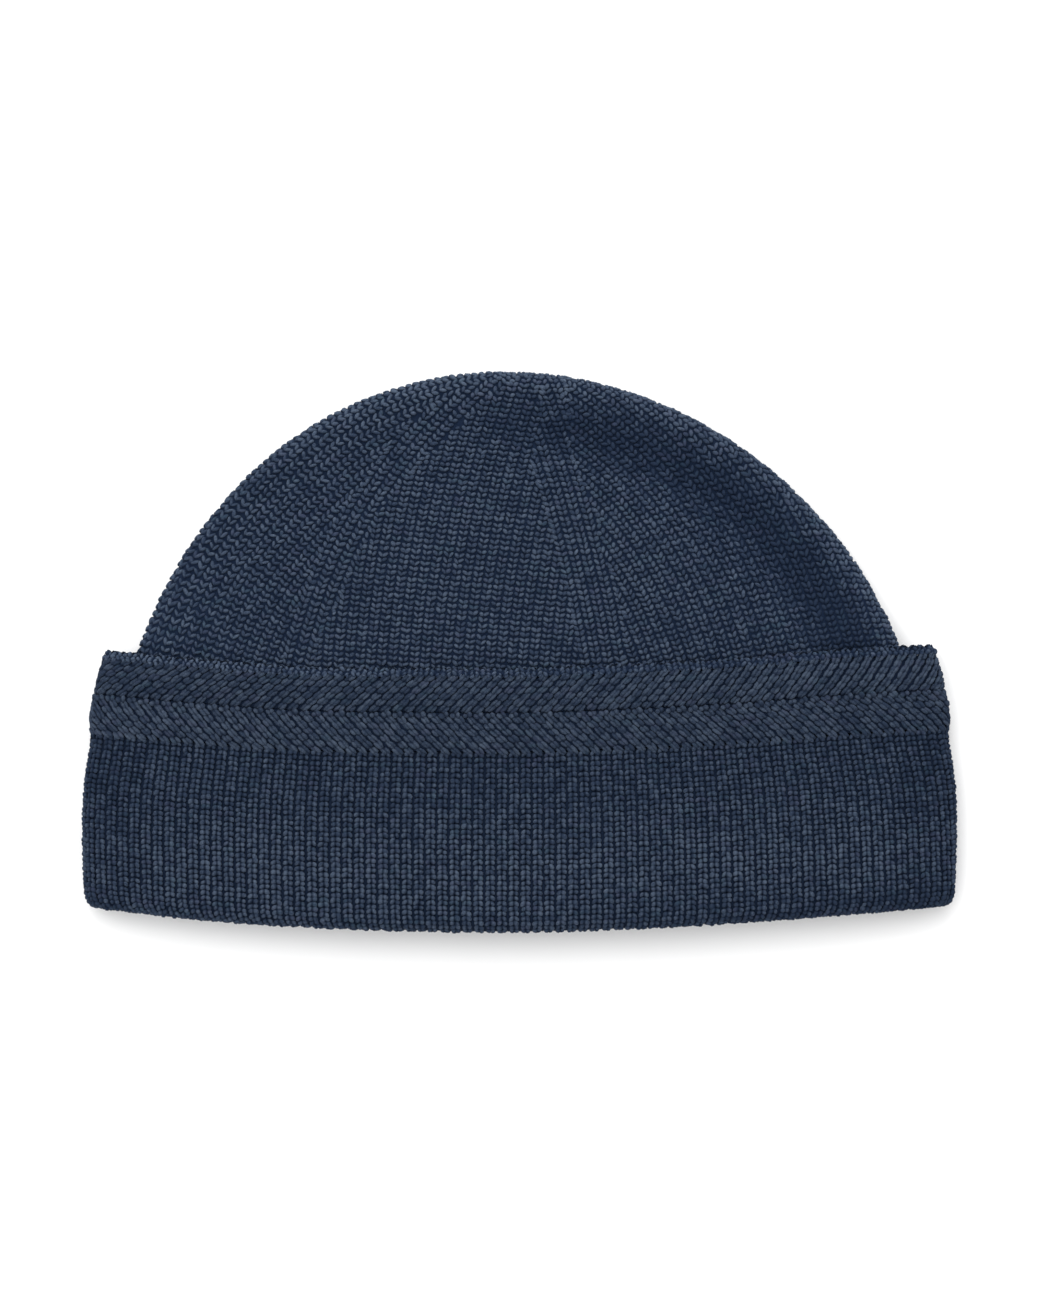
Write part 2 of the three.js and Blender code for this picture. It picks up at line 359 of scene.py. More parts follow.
def read_straight(rows: Sequence[SectionStop], column: str, value: Array) -> Array:
    """Reads one column of a section in straight lines.

    Args:
        rows: The section's stops, in rising order.
        column: Name of the field that is read.
        value: Where to read.

    Returns:
        The values of the column.
    """
    return np.interp(value, [row.at for row in rows], [getattr(row, column) for row in rows])


def unit(vectors: Array) -> Array:
    """Brings vectors to a length of 1.

    Args:
        vectors: Vectors, one a row.

    Returns:
        The vectors at unit length.
    """
    return vectors / np.maximum(np.linalg.norm(vectors, axis=1, keepdims=True), 1e-12)


# Form of the hat


@dataclass(frozen=True)
class HatForm:
    """Form of the lying hat, in metres, in the frame of the CAD part."""

    width: float = 0.2275
    length: float = 0.1461
    cuff_thickness: float = 0.021
    cuff_height: float = 0.0684
    crown_rise: float = 0.1118
    crown_width_share: float = 0.932
    crown_wall: float = 0.0024
    cuff_wall: float = 0.0028
    clearance: float = 0.0003
    front_fullness: float = 3.0
    back_fullness: float = 6.0
    cuff_sag: float = 0.007
    fold_puff: float = 0.0011
    rim_radius: float = 0.004
    rim_skirt: float = 0.032
    tip_drift: float = -0.0039
    tip_drift_power: float = 1.8
    rib_lean: float = 0.0042
    lean_reach: float = 0.25
    measuring_steps: int = 7200

    @property
    def fold_y(self) -> float:
        """Level of the fold at the cuff's foot."""
        return -self.length / 2

    @property
    def cuff_top_y(self) -> float:
        """Level of the cast-off edge at the middle."""
        return self.fold_y + self.cuff_height

    @property
    def crown_base_y(self) -> float:
        """Level at which the crown's own section begins."""
        return self.cuff_top_y + self.cuff_sag

    @property
    def crown_centre_y(self) -> float:
        """Middle of the crown's round outline."""
        return self.length / 2 - self.crown_rise

    @property
    def crown_half_width(self) -> float:
        """Half the width of the crown's round outline."""
        return self.crown_width_share * self.width / 2

    @property
    def middle_z(self) -> float:
        """Height of the cuff's side edges."""
        return self.cuff_thickness / 2

    @property
    def inner_face_out(self) -> float:
        """Reach of the cuff's inner face out from the hollow."""
        return self.crown_wall + self.clearance

    @property
    def outer_face_out(self) -> float:
        """Reach of the cuff's outer face out from the hollow."""
        return self.inner_face_out + self.cuff_wall

    @property
    def hollow_half_height(self) -> float:
        """Half the height of the hollow at its middle."""
        return self.middle_z - self.outer_face_out

    def section_lift(self, across: Array, rises: Array) -> Array:
        """Height of a full, pillow-like section.

        Args:
            across: Share of the half width.
            rises: Whether the point is on the front.

        Returns:
            Share of the half height.
        """
        power = np.where(rises, self.front_fullness, self.back_fullness)
        base = 1 - np.minimum(np.abs(across), 1.0) ** power
        return np.maximum(base, 0.0) ** (1 / power)

    def way_round(self) -> tuple[Array, Array]:
        """Measures the way round the cuff.

        Returns:
            Angles from the right side edge, and the lengths up to them.
        """
        angles = np.linspace(0.0, 2 * math.pi, self.measuring_steps + 1)
        rises = np.sin(angles) >= 0
        lift = self.section_lift(np.cos(angles), rises) * self.middle_z
        points = np.stack([np.cos(angles) * self.width / 2, np.where(rises, lift, -lift)], 1)
        steps = np.linalg.norm(np.diff(points, axis=0), axis=1)
        return angles, np.concatenate([[0.0], np.cumsum(steps)])

    def angle_at(self, share: Array) -> Array:
        """Turns a share of the way round into an angle.

        Args:
            share: Share of the way round the cuff.

        Returns:
            The angle from the right side edge.
        """
        angles, lengths = self.way_round()
        turns = np.floor(share)
        return np.interp((share - turns) * lengths[-1], lengths, angles) + 2 * math.pi * turns

    def round_length(self) -> float:
        """Length of the way round the cuff."""
        return float(self.way_round()[1][-1])

    def lean_at(self, share: Array, up: Array) -> Array:
        """Measures how far a rib has slid round the cuff.

        Args:
            share: Share of the way round the cuff.
            up: Share of the cuff's height.

        Returns:
            The slide as a share of the way round.
        """
        from_edge = np.abs(share - np.round(share))
        return self.rib_lean * up / self.round_length() * (
            1 - smooth_share(0.0, self.lean_reach, from_edge)
        )

    def cuff_sag_at(self, across: Array, up: Array) -> Array:
        """Measures how far the cuff's level lines lift towards its sides.

        Args:
            across: Share of half the hat's width, from -1 to 1.
            up: Share of the cuff's height.

        Returns:
            The lift.
        """
        fold = read_rows(CUFF_LINES, "across", "fold", across)
        edge = read_rows(CUFF_LINES, "across", "edge", across)
        return self.cuff_sag * (fold + (edge - fold) * up)

    def hollow_half_width(self, up: Array) -> Array:
        """Half width of the hollow at a share of the cuff's height."""
        return self.width / 2 * read_rows(CUFF_WIDTHS, "up", "wide", up) - self.outer_face_out

    def cuff_point(self, share: Array, up: Array, out: Array, puff: Array) -> Array:
        """Point of the cuff.

        Args:
            share: Share of the way round.
            up: Share of the cuff's height.
            out: Reach out from the hollow.
            puff: Further reach of the front.

        Returns:
            Points, one a row.
        """
        angle = self.angle_at(share)
        across, turn = np.cos(angle), np.sin(angle)
        rises = turn >= 0
        reach = out + np.where(rises, puff * turn, 0.0)
        lift = (self.hollow_half_height + reach) * self.section_lift(across, rises)
        height = np.maximum(self.middle_z + np.where(rises, lift, -lift), 0.0)
        level = self.fold_y + up * self.cuff_height + self.cuff_sag_at(across, up)
        return np.stack([(self.hollow_half_width(up) + out) * across, level, height], -1)

    def crown_half_width_at(self, y: Array, inset: float) -> Array:
        """Measures half the width of the crown at a level.

        Args:
            y: Level.
            inset: Distance in from the outer side.

        Returns:
            Half the width.
        """
        rise = np.clip((y - self.crown_centre_y) / (self.crown_rise - inset), 0.0, 1.0)
        curve = (self.crown_half_width - inset) * np.sqrt(1 - rise * rise)
        up = np.clip((y - self.fold_y) / self.cuff_height, 0.0, 1.0)
        filling = self.hollow_half_width(up) + self.crown_wall - inset
        middle = self.fold_y + self.cuff_height / 2
        return filling + (curve - filling) * smooth_share(middle, self.cuff_top_y, y)

    def dome_lift(self, from_rim: Array, radius: float, top: Array) -> Array:
        """Measures half the height of the crown inside its outline.

        Args:
            from_rim: Distance in from the outline.
            radius: Radius of the rolled rim.
            top: Half the height far from the rim.

        Returns:
            Half the height.
        """
        roll = 1 - np.minimum(from_rim / radius, 1.0)
        edge = radius * np.sqrt(np.maximum(1 - roll * roll, 0.0))
        return edge + (top - radius) * smooth_share(0.0, self.rim_skirt, from_rim)

    def drift_at(self, y: Array) -> Array:
        """Sideways lean of the crown at a level."""
        return self.tip_drift * (np.maximum(y, 0.0) / (self.length / 2)) ** self.tip_drift_power

    def crown_point(self, across: Array, y: Array, front: Array, inset: float) -> Array:
        """Point of the crown.

        Args:
            across: Share of the crown's half width, from -1 to 1.
            y: Level.
            front: Whether the point is on the front.
            inset: Distance in from the outer side.

        Returns:
            Points, one a row.
        """
        height = (y - self.crown_base_y) / (self.length / 2 - self.crown_base_y)
        edge_z = self.middle_z * read_rows(CROWN_ROWS, "rise", "edge", height)
        front_share = read_rows(CROWN_ROWS, "rise", "front", height)
        hang = read_rows(CROWN_ROWS, "rise", "hang", height)
        own = read_rows(CROWN_ROWS, "rise", "own", height)
        crown_front = self.middle_z + self.hollow_half_height + self.crown_wall
        rise = np.clip((y - self.crown_centre_y) / (self.crown_rise - inset), 0.0, 1.0)
        outwards = np.sqrt(rise**2 + (1 - rise**2) * across**2)
        from_rim = (1 - outwards) * (self.crown_half_width - inset)
        middle = self.fold_y + self.cuff_height / 2
        fade = 1 - smooth_share(middle, self.cuff_top_y, y)
        sag = self.cuff_sag_at(across, (y - self.fold_y) / self.cuff_height) * fade
        front_top = crown_front * front_share - edge_z - inset
        back_top = edge_z - hang * self.outer_face_out - inset
        band_top = np.where(front, front_top, crown_front - self.middle_z - inset)
        band = band_top * self.section_lift(across, front)
        dome = self.dome_lift(from_rim, self.rim_radius - inset, np.where(front, front_top, back_top))
        lift = band + (dome - band) * own
        z = np.maximum(edge_z + np.where(front, lift, -lift), inset)
        x = self.crown_half_width_at(y, inset) * across + self.drift_at(y)
        return np.stack([x, y + sag, z], -1)


# Finishes


@dataclass(frozen=True)
class WoolFinish:
    """Dyed wool: deep, mid and light tones, a tint that wanders, and fibre fuzz, with a root colour
    painted as shade at the roots of the legs.
    """

    name: str
    # root is painted shade: the colour towards the roots of the legs and on the cloth between them
    root: Colour = (0.0056, 0.0112, 0.0270)
    deep: Colour = (0.0200, 0.0310, 0.0560)
    light: Colour = (0.0720, 0.0960, 0.1380)
    plum: Colour = (0.0420, 0.0460, 0.0860)
    teal: Colour = (0.0260, 0.0540, 0.0760)
    tint: float = 0.3
    shade: float = 1.0
    roughness: float = 0.92
    sheen: float = 0.05
    bump: float = 0.7
    yarn_scale: float = 260.0
    fibre_scale: float = 2400.0
    plum_scale: float = 170.0
    teal_scale: float = 150.0
    relief_depth: float = 0.00025
    yarn_stretch: Triple = (1.0, 2.4, 1.0)
    teal_offset: Triple = (3.1, 1.7, 0.9)
    plum_range: Pair = (0.55, 0.72)
    teal_range: Pair = (0.56, 0.74)
    least_light: float = 0.1
    tone_strength: float = 0.5
    yarn_strength: float = 0.9
    fibre_strength: float = 1.4
    # Painted shade: how far the root colour reaches up the legs from root_lit to their crests, and how
    # much yarn colour the darkest shaded stitches keep
    root_lit: float = 0.07
    crest_lit: float = 0.93
    crest_full: float = 0.85
    shaded_stitch_lit: float = 0.5

    def make(self) -> bpy.types.Material:
        """Builds the material.

        Returns:
            The finished material.
        """
        material = bpy.data.materials.new(self.name)
        material.use_nodes = True
        tree = material.node_tree
        place = tree.nodes.new("ShaderNodeTexCoord").outputs["Object"]
        along = self._mapped(tree, place, "Scale", self.yarn_stretch)
        fibre = self._noise(tree, place, self.fibre_scale, 2.0)
        tone = self._attribute(tree, "tone")
        colour = self._tinted(tree, along, self._yarn(tree, along, fibre, tone))
        # Painted shade: the root colour darkens the legs towards their roots and on stitches shaded
        # darker
        colour = self._mix(tree, self._lit(tree, tone), self._shaded(self.root), colour)
        self._dress(tree, colour, fibre)
        return material

    def _yarn(self, tree: bpy.types.NodeTree, along: Socket, fibre: Socket, tone: Socket) -> Socket:
        """Mixes the deep and the light tone by stitch, yarn and fibre.

        Args:
            tree: The material's nodes.
            along: Places, drawn out along the yarn.
            fibre: Noise of the fibres.
            tone: Tone of the stitch, random with painted light and shade added.

        Returns:
            The yarn's colour.
        """
        yarn = self._noise(tree, along, self.yarn_scale, 3.0)
        mixed = self._math(tree, "MULTIPLY_ADD", tone, self.tone_strength, self.least_light)
        for noise, strength in ((yarn, self.yarn_strength), (fibre, self.fibre_strength)):
            shift = self._math(tree, "MULTIPLY_ADD", noise, strength, -strength / 2)
            mixed = self._math(tree, "ADD", mixed, shift)
        return self._mix(tree, mixed, self._shaded(self.deep), self._shaded(self.light))

    def _tinted(self, tree: bpy.types.NodeTree, along: Socket, colour: Socket) -> Socket:
        """Lets a plum and a teal tint wander over the wool.

        Args:
            tree: The material's nodes.
            along: Places, drawn out along the yarn.
            colour: The yarn's colour.

        Returns:
            The tinted colour.
        """
        moved = self._mapped(tree, along, "Location", self.teal_offset)
        plum = self._noise(tree, along, self.plum_scale, 2.0)
        teal = self._noise(tree, moved, self.teal_scale, 2.0)
        plum = self._range(tree, plum, *self.plum_range, self.tint)
        teal = self._range(tree, teal, *self.teal_range, self.tint)
        colour = self._mix(tree, plum, colour, self._shaded(self.plum))
        return self._mix(tree, teal, colour, self._shaded(self.teal))

    def _lit(self, tree: bpy.types.NodeTree, tone: Socket) -> Socket:
        """Paints shade: shows the yarn's colour on the crests of the legs, and the root colour towards
        their roots, more so on stitches shaded darker.

        Args:
            tree: The material's nodes.
            tone: Tone of the stitch, random with painted light and shade added.

        Returns:
            The share of the yarn's colour; the rest is the root's painted shade.
        """
        crest = self._attribute(tree, "crest")
        lit = self._range(tree, crest, 0.0, self.crest_full, self.crest_lit, self.root_lit)
        painted_shade_dim = self._range(tree, tone, -1.0, 0.0, 1 - self.shaded_stitch_lit, self.shaded_stitch_lit)
        return self._math(tree, "MULTIPLY", lit, painted_shade_dim)

    def _dress(self, tree: bpy.types.NodeTree, colour: Socket, fibre: Socket) -> None:
        """Sets the shader: colour, roughness, sheen and the relief of the fibres.

        Args:
            tree: The material's nodes.
            colour: The finished colour.
            fibre: Noise of the fibres.
        """
        shader = tree.nodes["Principled BSDF"]
        tree.links.new(colour, shader.inputs["Base Color"])
        rough = self._range(tree, fibre, 0.2, 0.8, 0.12, self.roughness - 0.08)
        tree.links.new(rough, shader.inputs["Roughness"])
        shader.inputs["Specular IOR Level"].default_value = 0.03
        shader.inputs["Sheen Weight"].default_value = self.sheen
        shader.inputs["Sheen Roughness"].default_value = 0.45
        shader.inputs["Sheen Tint"].default_value = (0.55, 0.66, 0.85, 1.0)
        relief = tree.nodes.new("ShaderNodeBump")
        relief.inputs["Strength"].default_value = self.bump
        relief.inputs["Distance"].default_value = self.relief_depth
        tree.links.new(fibre, relief.inputs["Height"])
        tree.links.new(relief.outputs["Normal"], shader.inputs["Normal"])

    def _shaded(self, colour: Colour) -> tuple[float, float, float, float]:
        """Scales a colour by the finish's shade and makes it opaque."""
        return (*(part * self.shade for part in colour), 1.0)

    @staticmethod
    def _attribute(tree: bpy.types.NodeTree, title: str) -> Socket:
        """Reads a number that the mesh carries.

        Args:
            tree: The material's nodes.
            title: Name of the attribute.

        Returns:
            Its value.
        """
        node = tree.nodes.new("ShaderNodeAttribute")
        node.attribute_name = title
        return node.outputs["Fac"]

    @staticmethod
    def _mapped(tree: bpy.types.NodeTree, vector: Socket, title: str, value: Triple) -> Socket:
        """Moves or scales places.

        Args:
            tree: The material's nodes.
            vector: The places.
            title: Location or Scale.
            value: How far to move, or how much to scale.

        Returns:
            The changed places.
        """
        node = tree.nodes.new("ShaderNodeMapping")
        node.inputs[title].default_value = value
        tree.links.new(vector, node.inputs["Vector"])
        return node.outputs["Vector"]

    @staticmethod
    def _noise(tree: bpy.types.NodeTree, vector: Socket, scale: float, detail: float) -> Socket:
        """Adds a noise pattern.

        Args:
            tree: The material's nodes.
            vector: Places that the noise is read at.
            scale: Its fineness.
            detail: Its number of finer layers.

        Returns:
            The noise, from 0 to 1.
        """
        node = tree.nodes.new("ShaderNodeTexNoise")
        node.inputs["Scale"].default_value = scale
        node.inputs["Detail"].default_value = detail
        tree.links.new(vector, node.inputs["Vector"])
        return node.outputs["Fac"]

    @staticmethod
    def _math(tree: bpy.types.NodeTree, operation: str, *values: Socket | float) -> Socket:
        """Adds a sum, a product or a product with a sum.

        Args:
            tree: The material's nodes.
            operation: Name of the operation.
            values: What it works on.

        Returns:
            The result.
        """
        node = tree.nodes.new("ShaderNodeMath")
        node.operation = operation
        for socket, value in zip(node.inputs, values):
            if isinstance(value, float):
                socket.default_value = value
            else:
                tree.links.new(value, socket)
        return node.outputs["Value"]

    @staticmethod
    def _range(
        tree: bpy.types.NodeTree,
        value: Socket,
        low: float,
        high: float,
        span: float,
        start: float = 0.0,
    ) -> Socket:
        """Eases a value into a range.

        Args:
            tree: The material's nodes.
            value: The value to ease.
            low: Value that gives the start.
            high: Value that gives the end.
            span: Distance from the start to the end.
            start: Start of the range.

        Returns:
            The eased value.
        """
        node = tree.nodes.new("ShaderNodeMapRange")
        node.interpolation_type = "SMOOTHSTEP"
        node.inputs["From Min"].default_value = low
        node.inputs["From Max"].default_value = high
        node.inputs["To Min"].default_value = start
        node.inputs["To Max"].default_value = start + span
        tree.links.new(value, node.inputs["Value"])
        return node.outputs["Result"]

    @staticmethod
    def _mix(
        tree: bpy.types.NodeTree, factor: Socket, first: Socket | tuple, second: Socket | tuple
    ) -> Socket:
        """Mixes two colours.

        Args:
            tree: The material's nodes.
            factor: Share of the second colour.
            first: The first colour.
            second: The second colour.

        Returns:
            The mixed colour.
        """
        node = tree.nodes.new("ShaderNodeMix")
        node.data_type = "RGBA"
        node.clamp_factor = True
        tree.links.new(factor, node.inputs[0])
        for socket, value in ((node.inputs[6], first), (node.inputs[7], second)):
            if isinstance(value, tuple):
                socket.default_value = value
            else:
                tree.links.new(value, socket)
        return node.outputs[2]


# Stitches


@dataclass(frozen=True)
class StitchLook:
    """Size and stance of one stitch's legs."""

    wale: float
    course: float
    spread: float = 0.235
    leg_length: float = 1.5
    leg_width: float = 0.52
    height: float = 0.00075
    sink: float = 0.0006
    slant: float = 0.42
    twist: float = 0.0
    tilt: float = 0.35
    unevenness: float = 1.0
    sides: int = 8
    follows: bool = False


class Leg:
    """One leg of a stitch: half of a bead, of unit size."""

    def __init__(self, sides: int) -> None:
        """Makes the leg.

        Args:
            sides: Number of sides round the bead.
        """
        shape = bmesh.new()
        bmesh.ops.create_uvsphere(shape, u_segments=sides, v_segments=4, radius=1.0)
        bmesh.ops.bisect_plane(
            shape,
            geom=shape.verts[:] + shape.edges[:] + shape.faces[:],
            plane_co=(0, 0, 0.01),
            plane_no=(0, 0, -1),
            clear_outer=True,
        )
        bmesh.ops.triangulate(shape, faces=shape.faces[:])
        # crest is the height on the leg; the finish paints shade by it towards the leg's root
        crest = shape.verts.layers.float.new("crest")
        for corner in shape.verts:
            corner[crest] = max(corner.co.z, 0.0)
        mesh = bpy.data.meshes.new(f"leg_{sides}")
        shape.to_mesh(mesh)
        shape.free()
        self.object = bpy.data.objects.new(mesh.name, mesh)


class StitchLayer:
    """Legs of stitches laid over a surface on a grid of wales and courses."""

    def __init__(self, name: str, look: StitchLook, seed: int) -> None:
        """Starts an empty layer.

        Args:
            name: Name for the layer's points.
            look: Size and stance of the legs.
            seed: Seed of the unevenness.
        """
        self.name = name
        self.look = look
        self.random = np.random.default_rng(seed)

    def lay(
        self,
        wales: int,
        courses: int,
        place: PointLaw,
        outward: float,
        tone: Callable[[Array], Array] | None = None,
        keep: Callable[[Array], Array] | None = None,
    ) -> bpy.types.Object:
        """Lays the legs.

        Args:
            wales: Number of wales.
            courses: Number of courses.
            place: Turns wale and course numbers into points.
            outward: Sign that turns the computed normals outwards.
            tone: Lightens or darkens legs by their points; the crown and the rib band paint light and
                shade with it.
            keep: Chooses legs by their points.

        Returns:
            An object whose points carry the stance of each leg.
        """
        wale, course, side = self._grid(wales, courses)
        wale = wale + side * self.look.spread
        point = place(wale, course)
        across = place(wale + WALE_STEP, course) - point
        along = place(wale, course + COURSE_STEP) - point
        kept = np.full(len(point), True) if keep is None else keep(point)
        shift = np.zeros(len(point)) if tone is None else tone(point)
        point, stance = self._stand(point, across, along, side, outward)
        # Random tone of each leg, plus the part's shift, which is painted light and shade on the crown
        # and the rib band
        tones = self.random.uniform(0.0, 1.0, len(point)) + shift
        return self._write(point, stance, tones, kept & np.isfinite(point).all(1))

    @staticmethod
    def _grid(wales: int, courses: int) -> tuple[Array, Array, Array]:
        """Numbers the legs on a grid with two columns to a wale.

        Args:
            wales: Number of wales.
            courses: Number of courses.

        Returns:
            The wale and the course of each leg, and -1 or 1 for its side of the stitch.
        """
        last_column, last_row = 2 * wales - 1, courses - 1
        shape = bmesh.new()
        bmesh.ops.create_grid(shape, x_segments=last_column, y_segments=last_row, size=0.5)
        corners = np.array([corner.co[:2] for corner in shape.verts]) + 0.5
        shape.free()
        columns = np.rint(corners[:, 0] * last_column).astype(int)
        rows = np.rint(corners[:, 1] * last_row)
        return columns // 2, rows, np.where(columns % 2 == 0, -1.0, 1.0)

    def _stand(
        self, point: Array, across: Array, along: Array, side: Array, outward: float
    ) -> tuple[Array, dict[str, Array]]:
        """Works out how each leg stands.

        Args:
            point: Points of the legs.
            across: Steps towards the next wale.
            along: Steps towards the next course.
            side: Sides of the stitches that the legs form.
            outward: Sign that turns the computed normals outwards.

        Returns:
            The seated points, and each leg's direction, its outward direction and its sizes.
        """
        look = self.look
        spacing = np.linalg.norm(along, axis=1) / COURSE_STEP / look.course
        stretch = np.clip(spacing, *STRETCH_LIMITS) if look.follows else np.ones(len(point))
        spare = look.unevenness * self.random.normal(0.0, 1.0, (6, len(point))).clip(-2, 2)
        along, across = unit(along), unit(across)
        slant = side * look.slant / stretch**STRETCH_POWER + look.twist + TURN_SPREAD * spare[0]
        leg = along * np.cos(slant)[:, None] + across * np.sin(slant)[:, None]
        across = unit(across - along * (across * along).sum(1, keepdims=True))
        normal = np.cross(across, along) * outward
        up = unit(normal + across * (side * look.tilt + TIP_SPREAD * spare[1])[:, None])
        stand = SIDE_HEIGHT + (1 - SIDE_HEIGHT) * np.abs(normal[:, 2])
        sizes = np.stack(
            [
                look.course * look.leg_length / 2 * stretch * (1 + LENGTH_SPREAD * spare[2]),
                look.wale * look.leg_width / 2 * (1 + WIDTH_SPREAD * spare[3]),
                look.height * stand * (1 + HEIGHT_SPREAD * spare[4]),
            ],
            1,
        )
        point = point - normal * look.sink + along * (PLACE_SPREAD * spare[5])[:, None]
        return point, {"leg": leg, "up": up, "sizes": sizes}

    def _write(
        self, point: Array, stance: dict[str, Array], tones: Array, chosen: Array
    ) -> bpy.types.Object:
        """Writes the chosen legs as points.

        Args:
            point: Points of the legs.
            stance: What is known of each leg's stance.
            tones: Tone of each leg.
            chosen: Which legs are written.

        Returns:
            The object that holds the points.
        """
        mesh = bpy.data.meshes.new(self.name)
        mesh.vertices.add(int(chosen.sum()))
        mesh.vertices.foreach_set("co", point[chosen].astype(np.float32).ravel())
        for title, values in stance.items():
            layer = mesh.attributes.new(title, "FLOAT_VECTOR", "POINT")
            layer.data.foreach_set("vector", values[chosen].astype(np.float32).ravel())
        layer = mesh.attributes.new("tone", "FLOAT", "POINT")
        layer.data.foreach_set("value", tones[chosen].astype(np.float32))
        mesh.update()
        return bpy.data.objects.new(self.name, mesh)


def press_flat(mesh: bpy.types.Mesh) -> None:
    """Presses what would reach through the table flat onto it.

    Args:
        mesh: The mesh to press.
    """
    points = np.empty(len(mesh.vertices) * 3, np.float32)
    mesh.vertices.foreach_get("co", points)
    points[2::3] = np.maximum(points[2::3], TABLE_GAP)
    mesh.vertices.foreach_set("co", points)
    mesh.update()


class StitchMaker:
    """Turns laid points into real legs of stitches."""

    def __init__(self) -> None:
        """Keeps one leg of each fineness."""
        self.legs: dict[int, Leg] = {}

    def make(self, points: bpy.types.Object, sides: int) -> bpy.types.Mesh:
        """Puts a leg on every point and keeps the result as a mesh.

        Args:
            points: Points with the stance of each leg.
            sides: Number of sides round a leg.

        Returns:
            The joined legs.
        """
        leg = self.legs.setdefault(sides, Leg(sides))
        bpy.context.scene.collection.objects.link(points)
        modifier = points.modifiers.new("stitches", "NODES")
        modifier.node_group = self._nodes(leg.object)
        graph = bpy.context.evaluated_depsgraph_get()
        made = bpy.data.meshes.new_from_object(
            points.evaluated_get(graph), preserve_all_data_layers=True, depsgraph=graph
        )
        group = modifier.node_group
        bpy.data.objects.remove(points)
        bpy.data.node_groups.remove(group)
        press_flat(made)
        return made

    @staticmethod
    def _nodes(leg: bpy.types.Object) -> bpy.types.NodeTree:
        """Makes the nodes that put a leg on every point.

        Args:
            leg: The leg.

        Returns:
            The nodes.
        """
        tree = bpy.data.node_groups.new("lay_stitches", "GeometryNodeTree")
        tree.interface.new_socket("Points", in_out="INPUT", socket_type="NodeSocketGeometry")
        tree.interface.new_socket("Stitches", in_out="OUTPUT", socket_type="NodeSocketGeometry")
        start, end = tree.nodes.new("NodeGroupInput"), tree.nodes.new("NodeGroupOutput")
        shape = tree.nodes.new("GeometryNodeObjectInfo")
        shape.inputs["Object"].default_value = leg
        stance = {}
        for title in ("leg", "up", "sizes"):
            node = tree.nodes.new("GeometryNodeInputNamedAttribute")
            node.data_type = "FLOAT_VECTOR"
            node.inputs["Name"].default_value = title
            stance[title] = node.outputs[0]
        turn = tree.nodes.new("FunctionNodeAxesToRotation")
        turn.primary_axis, turn.secondary_axis = "Z", "X"
        tree.links.new(stance["up"], turn.inputs["Primary Axis"])
        tree.links.new(stance["leg"], turn.inputs["Secondary Axis"])
        put = tree.nodes.new("GeometryNodeInstanceOnPoints")
        tree.links.new(start.outputs[0], put.inputs["Points"])
        tree.links.new(shape.outputs["Geometry"], put.inputs["Instance"])
        tree.links.new(turn.outputs["Rotation"], put.inputs["Rotation"])
        tree.links.new(stance["sizes"], put.inputs["Scale"])
        real = tree.nodes.new("GeometryNodeRealizeInstances")
        tree.links.new(put.outputs["Instances"], real.inputs["Geometry"])
        smooth = tree.nodes.new("GeometryNodeSetShadeSmooth")
        tree.links.new(real.outputs["Geometry"], smooth.inputs["Geometry"])
        tree.links.new(smooth.outputs["Geometry"], end.inputs[0])
        return tree


# Cloth and pieces


def tone_across(point: Array, form: HatForm, tones: Pair) -> Array:
    """Lightens or darkens legs from the left side of the hat to its right.

    Args:
        point: Points of the legs.
        form: Form of the hat.
        tones: Shifts at the left and at the right side.

    Returns:
        The shift of each leg.
    """
    return np.interp(point[:, 0], (-form.width / 2, form.width / 2), tones)


class Cloth:
    """A closed cloth body made from a grid that is bent round and joined to itself."""

    def __init__(self, name: str, round_steps: int, along_steps: int) -> None:
        """Lays out the grid.

        Args:
            name: Name of the piece.
            round_steps: Steps round the hat.
            along_steps: Steps along the section of the cloth.
        """
        self.name = name
        self.shape = bmesh.new()
        self.shape.loops.layers.uv.new(MAP_NAME)
        bmesh.ops.create_grid(
            self.shape,
            x_segments=round_steps,
            y_segments=along_steps,
            size=0.5,
            calc_uvs=True,
        )

    def bend(self, law: PointLaw) -> bpy.types.Mesh:
        """Bends the grid into place and closes it.

        Args:
            law: Turns shares round and shares along into points.

        Returns:
            The closed, smooth mesh.
        """
        corners = np.array([corner.co[:2] for corner in self.shape.verts]) + 0.5
        points = law(corners[:, 0], corners[:, 1])
        for corner, point in zip(self.shape.verts, points.tolist()):
            corner.co = point
        bmesh.ops.remove_doubles(self.shape, verts=self.shape.verts[:], dist=2e-6)
        bmesh.ops.recalc_face_normals(self.shape, faces=self.shape.faces[:])
        for face in self.shape.faces:
            face.smooth = True
        mesh = bpy.data.meshes.new(self.name)
        self.shape.to_mesh(mesh)
        self.shape.free()
        return mesh


class Piece:
    """A finished piece of the hat, fixed to the frame."""

    @staticmethod
    def add(
        name: str, meshes: Sequence[bpy.types.Mesh], finishes: Sequence[bpy.types.Material]
    ) -> bpy.types.Object:
        """Joins meshes into one object, each keeping its own finish.

        Args:
            name: Name of the piece.
            meshes: Its meshes.
            finishes: One finish for each mesh.

        Returns:
            The object, riding on the frame.
        """
        body = bpy.data.objects.new(name, meshes[0])
        bpy.context.scene.collection.objects.link(body)
        others = []
        for mesh, finish in zip(meshes, finishes):
            mesh.materials.clear()
            mesh.materials.append(finish)
            mesh.polygons.foreach_set("material_index", np.zeros(len(mesh.polygons), np.int32))
            for title in ("leg", "up", "sizes"):
                if title in mesh.attributes:
                    mesh.attributes.remove(mesh.attributes[title])
            if mesh is not meshes[0]:
                other = bpy.data.objects.new(mesh.name, mesh)
                bpy.context.scene.collection.objects.link(other)
                others.append(other)
        if others:
            with bpy.context.temp_override(
                active_object=body, selected_editable_objects=[body, *others]
            ):
                bpy.ops.object.join()
        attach(body, "root")
        count = sum(len(face.vertices) - 2 for face in body.data.polygons)
        LOG.info("%s: %d triangles", name, count)
        return body


